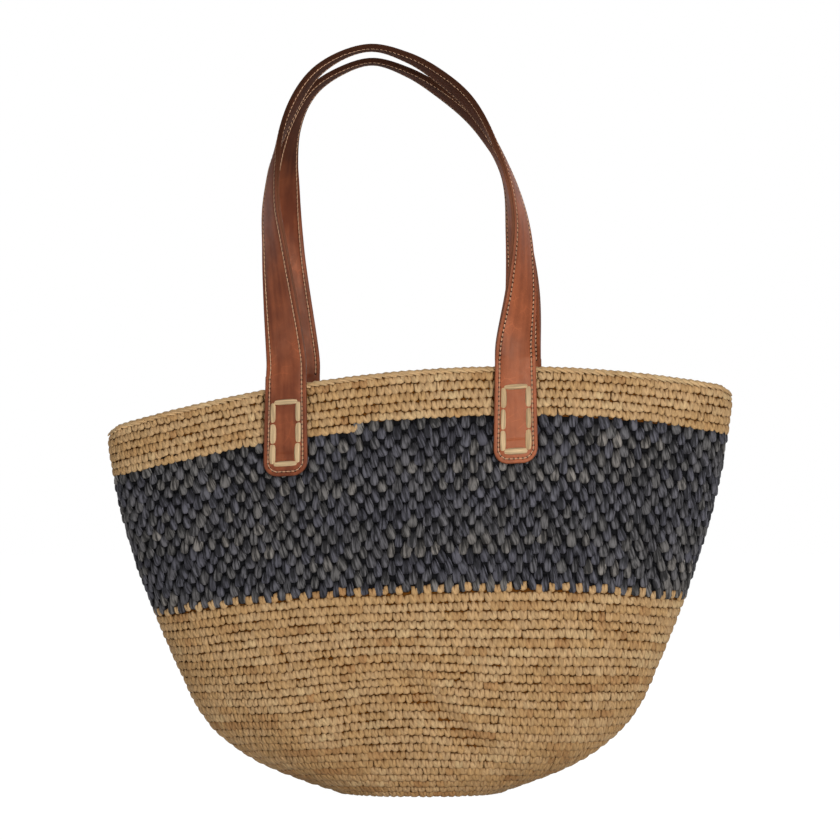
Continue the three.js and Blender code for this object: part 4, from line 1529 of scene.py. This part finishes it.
class TOTE_OT_stage(Operator):
    """Camera at the photograph's angle, a pale floor and soft light"""

    bl_idname = "tote.stage"
    bl_label = "Stage"

    def execute(self, context):
        scene = context.scene
        scene.view_settings.view_transform = "Standard"
        camera = link(bpy.data.objects.new("camera", bpy.data.cameras.new("camera")))
        camera.data.lens = 181.5
        camera.location = (0, -3.4, 0.2995)
        camera.rotation_euler = (math.pi / 2, 0, 0)
        scene.camera = camera

        # Nine parts of what is seen of the floor are white, and one part has its shadows
        material, tree, surface = new_material("Pale studio floor")
        whiter = add_node(
            tree, "ShaderNodeMath", {0: background_shows(tree), 1: 0.9}, operation="MULTIPLY"
        ).outputs[0]
        matt = add_node(tree, "ShaderNodeBsdfDiffuse", {"Color": (0.65, 0.65, 0.65, 1)}).outputs[0]
        white = add_node(tree, "ShaderNodeEmission", {"Strength": 1.1}).outputs[0]
        mixed = add_node(tree, "ShaderNodeMixShader", {0: whiter, 1: matt, 2: white}).outputs[0]
        tree.links.new(mixed, surface)
        half = 6.0
        corners = np.array([(-half, -half, 0), (half, -half, 0), (half, half, 0), (-half, half, 0)])
        floor = add_piece("floor", corners, [[0, 1, 2, 3]], material)

        world = bpy.data.worlds.new("Studio")
        world.use_nodes = True
        world.node_tree.nodes.clear()
        sky = world.node_tree
        soft = add_node(sky, "ShaderNodeBackground", {"Color": (1, 1, 1, 1), "Strength": 0.2}).outputs[0]
        bright = add_node(sky, "ShaderNodeBackground", {"Color": (1, 1, 1, 1), "Strength": 1.0}).outputs[0]
        both = add_node(
            sky, "ShaderNodeMixShader", {0: background_shows(sky), 1: soft, 2: bright}
        ).outputs[0]
        add_node(sky, "ShaderNodeOutputWorld", {"Surface": both})
        scene.world = world

        target = Vector((0, 0, 0.28))
        for name, place, width, watts in (
            ("key", (1.0, -2.25, 0.36), 1.2, 60.0),
            ("fill", (-1.75, -1.65, 0.25), 1.2, 19.0),
            ("back", (0.0, 1.9, 1.3), 1.2, 36.0),
        ):
            lamp = bpy.data.lights.new(name, "AREA")
            lamp.size = width
            lamp.energy = watts
            holder = link(bpy.data.objects.new(name, lamp))
            holder.location = place
            holder.rotation_euler = (target - Vector(place)).to_track_quat("-Z", "Y").to_euler()
        return {"FINISHED"}


class TOTE_OT_natural_rows(Operator):
    """The natural rows of the heel, the lower band and the upper band"""

    bl_idname = "tote.natural_rows"
    bl_label = "Natural rows"

    def execute(self, context):
        body = context.scene.tote_body
        wall, straps = tote_parts(context)
        material = natural_raffia(context.scene.tote_finish)
        stitches = natural_stitches()
        depth = body.stitch_depth
        lean = body.stitch_lean
        half_row = body.row_height / 2
        random = np.random.default_rng(3)

        def full_row(bottom, top):
            """One row right round the bag."""
            count = row_count(wall, (bottom + top) / 2, body.stitch_width)
            return lay_row(wall, bottom, top, count, random.random(), depth, lean)

        lower_edges = row_heights(wall, 0, wall.middle_bottom - half_row, body.row_height)
        lower = [full_row(bottom, top) for bottom, top in zip(lower_edges, lower_edges[1:])]
        split = int(np.searchsorted(lower_edges, body.heel_band))
        # Single stitches between the feet of the lowest charcoal ones
        between = lay_row(
            wall, wall.middle_bottom - half_row, wall.middle_bottom + half_row,
            column_pairs(wall, body), 0.5, depth, lean,
        )
        between["size"][:, 0] /= 2
        between = unevenly(between, reach=1.2 * MM, seed=14)
        upper_edges = np.linspace(wall.upper_bottom, wall.upper_top + INTO_EDGING * body.edging, 6)
        upper = [full_row(bottom, top) for bottom, top in zip(upper_edges, upper_edges[1:])]
        # One more row, from the right end round the back to the colour step
        step_angle = 2 * math.pi + colour_step_angle(body)
        round_count = row_count(wall, wall.upper_bottom, body.stitch_width)
        extra_count = round(round_count * step_angle / (2 * math.pi))
        upper.append(lay_row(
            wall, wall.upper_bottom - body.row_height, wall.upper_bottom, extra_count, 0.5, depth, lean,
            begin=0, end=step_angle,
        ))
        overlap = (1.15, 1.1, 1)
        for name, rows, node, seed in (
            ("heel_rows", lower[:split], "heel_band", 11),
            ("lower_rows", [*lower[split:], between], "lower_band", 12),
            ("upper_rows", upper, "upper_band", 13),
        ):
            places = gathered(rows)
            places["shade"] = yarn_drift(len(places["point"]), seed)
            places["size"] = places["size"] * overlap
            places = unevenly(places, reach=0.45 * MM, seed=seed)
            places = pressed(sunk(places, WALL_STITCH_SUNK * depth), straps)
            piece = sew(
                name, places, stitches, material, seed, size_variation=0.13, lean_variation=0.18
            )
            on_bag(piece, "natural_raffia", node)
        return {"FINISHED"}


class TOTE_OT_charcoal_rows(Operator):
    """The charcoal rows of long staggered stitches"""

    bl_idname = "tote.charcoal_rows"
    bl_label = "Charcoal rows"

    def execute(self, context):
        body = context.scene.tote_body
        wall, straps = tote_parts(context)
        pairs = column_pairs(wall, body)

        def lean(angle):
            """How far a charcoal stitch leans at an angle round the bag."""
            return body.long_lean + body.long_lean_change * np.cos(angle)

        half = body.long_stitch / 2
        first = wall.middle_bottom + half / 2
        last = wall.upper_bottom - 0.3 * half
        count = round((wall.upper_bottom - first) / half)
        rows = []
        for row, middle in enumerate(np.linspace(first, last, count)):
            phase = 0.5 * (row % 2)
            rows.append(
                lay_row(wall, middle - half, middle + half, pairs, phase, body.stitch_depth, lean)
            )
        # The highest row runs only from the colour step to the right end of the front
        angle = rows[-1]["angle"]
        rows[-1] = chosen(rows[-1], (angle > colour_step_angle(body)) & (angle < 0))
        places = gathered(rows)
        slim_and_full = (0.64, 0.95, 1.15)
        places["size"] = places["size"] * slim_and_full
        places = unevenly(places, reach=0.6 * MM, seed=22)
        places["shade"] = yarn_drift(len(places["point"]), 21)
        places = pressed(sunk(places, WALL_STITCH_SUNK * body.stitch_depth), straps)
        material = charcoal_raffia(context.scene.tote_finish)
        piece = sew(
            "charcoal_rows", places, charcoal_stitches(), material, 21,
            size_variation=0.17, lean_variation=0.2,
        )
        on_bag(piece, "charcoal_raffia", "middle_band")
        return {"FINISHED"}


class TOTE_OT_base_rows(Operator):
    """The rounds of the flat oval base"""

    bl_idname = "tote.base_rows"
    bl_label = "Base rows"

    def execute(self, context):
        body = context.scene.tote_body
        row = body.row_height
        smallest = 0.2 * row
        insets = np.arange(row / 2, body.base_half_depth - smallest, row)
        places = gathered([base_round(body, inset) for inset in insets])
        places["shade"] = yarn_drift(len(places["point"]), 31)
        base_stitch_sunk = 0.66
        places = sunk(places, base_stitch_sunk * body.stitch_depth)
        piece = sew(
            "base_rows", places, natural_stitches(), natural_raffia(context.scene.tote_finish), 31
        )
        on_bag(piece, "natural_raffia", "base")
        return {"FINISHED"}


class TOTE_OT_rim_chain(Operator):
    """The chain row along the rim"""

    bl_idname = "tote.rim_chain"
    bl_label = "Rim chain"

    def execute(self, context):
        body = context.scene.tote_body
        wall, _ = tote_parts(context)
        top = body.rim_height
        chain_width = 1.05 * body.stitch_width
        raised = 0.12 * body.edging
        overlap = 1.12
        proud = 1.02
        darkest_shade = 0.35
        count = row_count(wall, top, chain_width)
        places = lay_row(wall, top - body.edging, top, count, 0.0, body.edging, 0.0)
        places = sunk(places, body.fabric / 2)
        up = np.cross(places["out"], places["along"])
        places["point"] = places["point"] + up * raised
        places["out"] = up
        places["size"] = np.stack([
            overlap * places["size"][:, 0], np.full(count, proud * body.fabric), np.full(count, body.edging),
        ], axis=-1)
        places["shade"] = darkest_shade + (1 - darkest_shade) * yarn_drift(count, 41)
        piece = sew(
            "rim_chain", places, 2 * [chain_stitch()], natural_raffia(context.scene.tote_finish), 41
        )
        on_bag(piece, "natural_raffia", "rim_edging")
        return {"FINISHED"}


class TOTE_OT_fabric_inside(Operator):
    """The middle of the fabric, dark as painted shade in the gaps, and the wrong side of its rows seen
    through the mouth
    """

    bl_idname = "tote.fabric_inside"
    bl_label = "Fabric inside"

    def execute(self, context):
        body = context.scene.tote_body
        finish = context.scene.tote_finish
        wall, _ = tote_parts(context)
        natural_gap_shade = gap_shadow("Natural raffia, in the gaps", finish.raffia_gap_shade)
        charcoal_gap_shade = gap_shadow("Charcoal raffia, in the gaps", finish.charcoal_gap_shade)
        lower = (0, wall.middle_bottom)
        middle = (wall.middle_bottom, wall.upper_bottom)
        upper = (wall.upper_bottom, body.rim_height - INTO_EDGING * body.edging)
        for name, (bottom, top), material, slot in (
            ("lower_core", lower, natural_gap_shade, "natural_raffia"),
            ("middle_core", middle, charcoal_gap_shade, "charcoal_raffia"),
            ("upper_core", upper, natural_gap_shade, "natural_raffia"),
        ):
            on_bag(fabric_core(name, wall, body, bottom, top, material), slot)
        angles = np.linspace(-math.pi, math.pi, 96, endpoint=False)
        faces_of_base = [
            oval(body.base_half_width, body.base_half_depth, angles, share * body.fabric) for share in CORE
        ]
        base_core = add_piece("base_core", *loft(np.array(faces_of_base)), natural_gap_shade)
        on_bag(base_core, "natural_raffia")

        bars = 2 * [bar_stitch()]
        bar_depth = 0.5 * body.fabric
        bar_sunk = 0.8 * body.fabric
        overlap = (1.05, 1.05, 1)
        for name, (bottom, top), material, slot, seed in (
            ("lower_inside", lower, natural_raffia(finish), "natural_raffia", 51),
            ("middle_inside", middle, charcoal_raffia(finish), "charcoal_raffia", 52),
            ("upper_inside", upper, natural_raffia(finish), "natural_raffia", 53),
        ):
            edges = row_heights(wall, bottom, top, body.row_height)
            rows = []
            for low, high in zip(edges, edges[1:]):
                count = row_count(wall, (low + high) / 2, body.stitch_width)
                rows.append(lay_row(wall, low, high, count, 0.25, bar_depth, 0.0))
            places = turned_in(sunk(gathered(rows), bar_sunk))
            places["size"] = places["size"] * overlap
            places["shade"] = yarn_drift(len(places["point"]), seed)
            on_bag(sew(name, places, bars, material, seed), slot)
        return {"FINISHED"}


class TOTE_OT_straps(Operator):
    """The two leather straps, each a face and a lining sewn together, from tab to tab"""

    bl_idname = "tote.straps"
    bl_label = "Straps"

    def execute(self, context):
        material = tan_leather(context.scene.tote_finish)
        _, straps = tote_parts(context)
        for strap in straps:
            points, faces, values = strap_body(strap)
            piece = add_piece(f"{strap.name}_strap", points, faces, material, **values)
            stretches = [f"{strap.name}_tab_{end}" for end in strap.tabs] + [f"{strap.name}_loop"]
            nodes = [f"{stretch}_{layer}" for stretch in stretches for layer in ("face", "lining")]
            across_fold(piece, strap, "tan_leather", *nodes)
        return {"FINISHED"}


class TOTE_OT_seams(Operator):
    """The seam stitches along both edges of each strap and round its tabs"""

    bl_idname = "tote.seams"
    bl_label = "Seams"

    def execute(self, context):
        material = waxed_thread(context.scene.tote_finish)
        _, straps = tote_parts(context)
        for seed, strap in enumerate(straps, start=61):
            places = gathered([
                seam_side(strap, 1, strap.face_outside),
                seam_side(strap, -1, strap.lining_inside),
            ])
            piece = sew(
                f"{strap.name}_seam", places, 2 * [thread_stitch()], material, seed,
                size_variation=0.04, lean_variation=0.06,
            )
            seams = [f"{strap.name}_tab_{end}_seam" for end in strap.tabs]
            seams += [f"{strap.name}_loop_seam_{edge}" for edge in ("near", "far")]
            across_fold(piece, strap, "seam_thread", *seams)
        return {"FINISHED"}


class TOTE_OT_lashings(Operator):
    """The pale raffia that sews each tab to the wall"""

    bl_idname = "tote.lashings"
    bl_label = "Lashings"

    def execute(self, context):
        body = context.scene.tote_body
        material = lashing_raffia(context.scene.tote_finish)
        _, straps = tote_parts(context)
        random = np.random.default_rng(71)
        darkest_shade = 0.4
        for strap in straps:
            for end in strap.tabs:
                points, faces, fibre, tint = lashing(strap, end, body, random)
                shade = darkest_shade + (1 - darkest_shade) * tint
                piece = add_piece(
                    f"{strap.name}_{end}_lashing", points, faces, material,
                    fibre=fibre, tint=tint, shade=shade,
                )
                on_bag(piece, "lashing_raffia", f"{strap.name}_tab_{end}_lashing")
        return {"FINISHED"}


MAKERS = (
    TOTE_OT_stage,
    TOTE_OT_natural_rows,
    TOTE_OT_charcoal_rows,
    TOTE_OT_base_rows,
    TOTE_OT_rim_chain,
    TOTE_OT_fabric_inside,
    TOTE_OT_straps,
    TOTE_OT_seams,
    TOTE_OT_lashings,
)


class TOTE_PT_panel(Panel):
    """The tote's pieces, in the order they are made"""

    bl_idname = "TOTE_PT_panel"
    bl_label = "Raffia tote"
    bl_space_type = "VIEW_3D"
    bl_region_type = "UI"
    bl_category = "Tote"

    def draw(self, context):
        for maker in MAKERS:
            self.layout.operator(maker.bl_idname)
        for group in (context.scene.tote_body, context.scene.tote_straps, context.scene.tote_finish):
            box = self.layout.box()
            for name in group.bl_rna.properties.keys():
                if name not in ("rna_type", "name"):
                    box.prop(group, name)


CLASSES = (ToteBody, ToteStraps, ToteFinish, *MAKERS, TOTE_PT_panel)


def register():
    """Make the classes known and give the scene its sizes and colours."""
    for made in CLASSES:
        bpy.utils.register_class(made)
    bpy.types.Scene.tote_body = PointerProperty(type=ToteBody)
    bpy.types.Scene.tote_straps = PointerProperty(type=ToteStraps)
    bpy.types.Scene.tote_finish = PointerProperty(type=ToteFinish)


def unregister():
    """Take away what register added."""
    del bpy.types.Scene.tote_finish
    del bpy.types.Scene.tote_straps
    del bpy.types.Scene.tote_body
    for made in reversed(CLASSES):
        bpy.utils.unregister_class(made)


def main():
    """Make every piece."""
    register()
    bpy.ops.tote.stage()
    bpy.ops.tote.natural_rows()
    bpy.ops.tote.charcoal_rows()
    bpy.ops.tote.base_rows()
    bpy.ops.tote.rim_chain()
    bpy.ops.tote.fabric_inside()
    bpy.ops.tote.straps()
    bpy.ops.tote.seams()
    bpy.ops.tote.lashings()


if __name__ == "__main__":
    main()
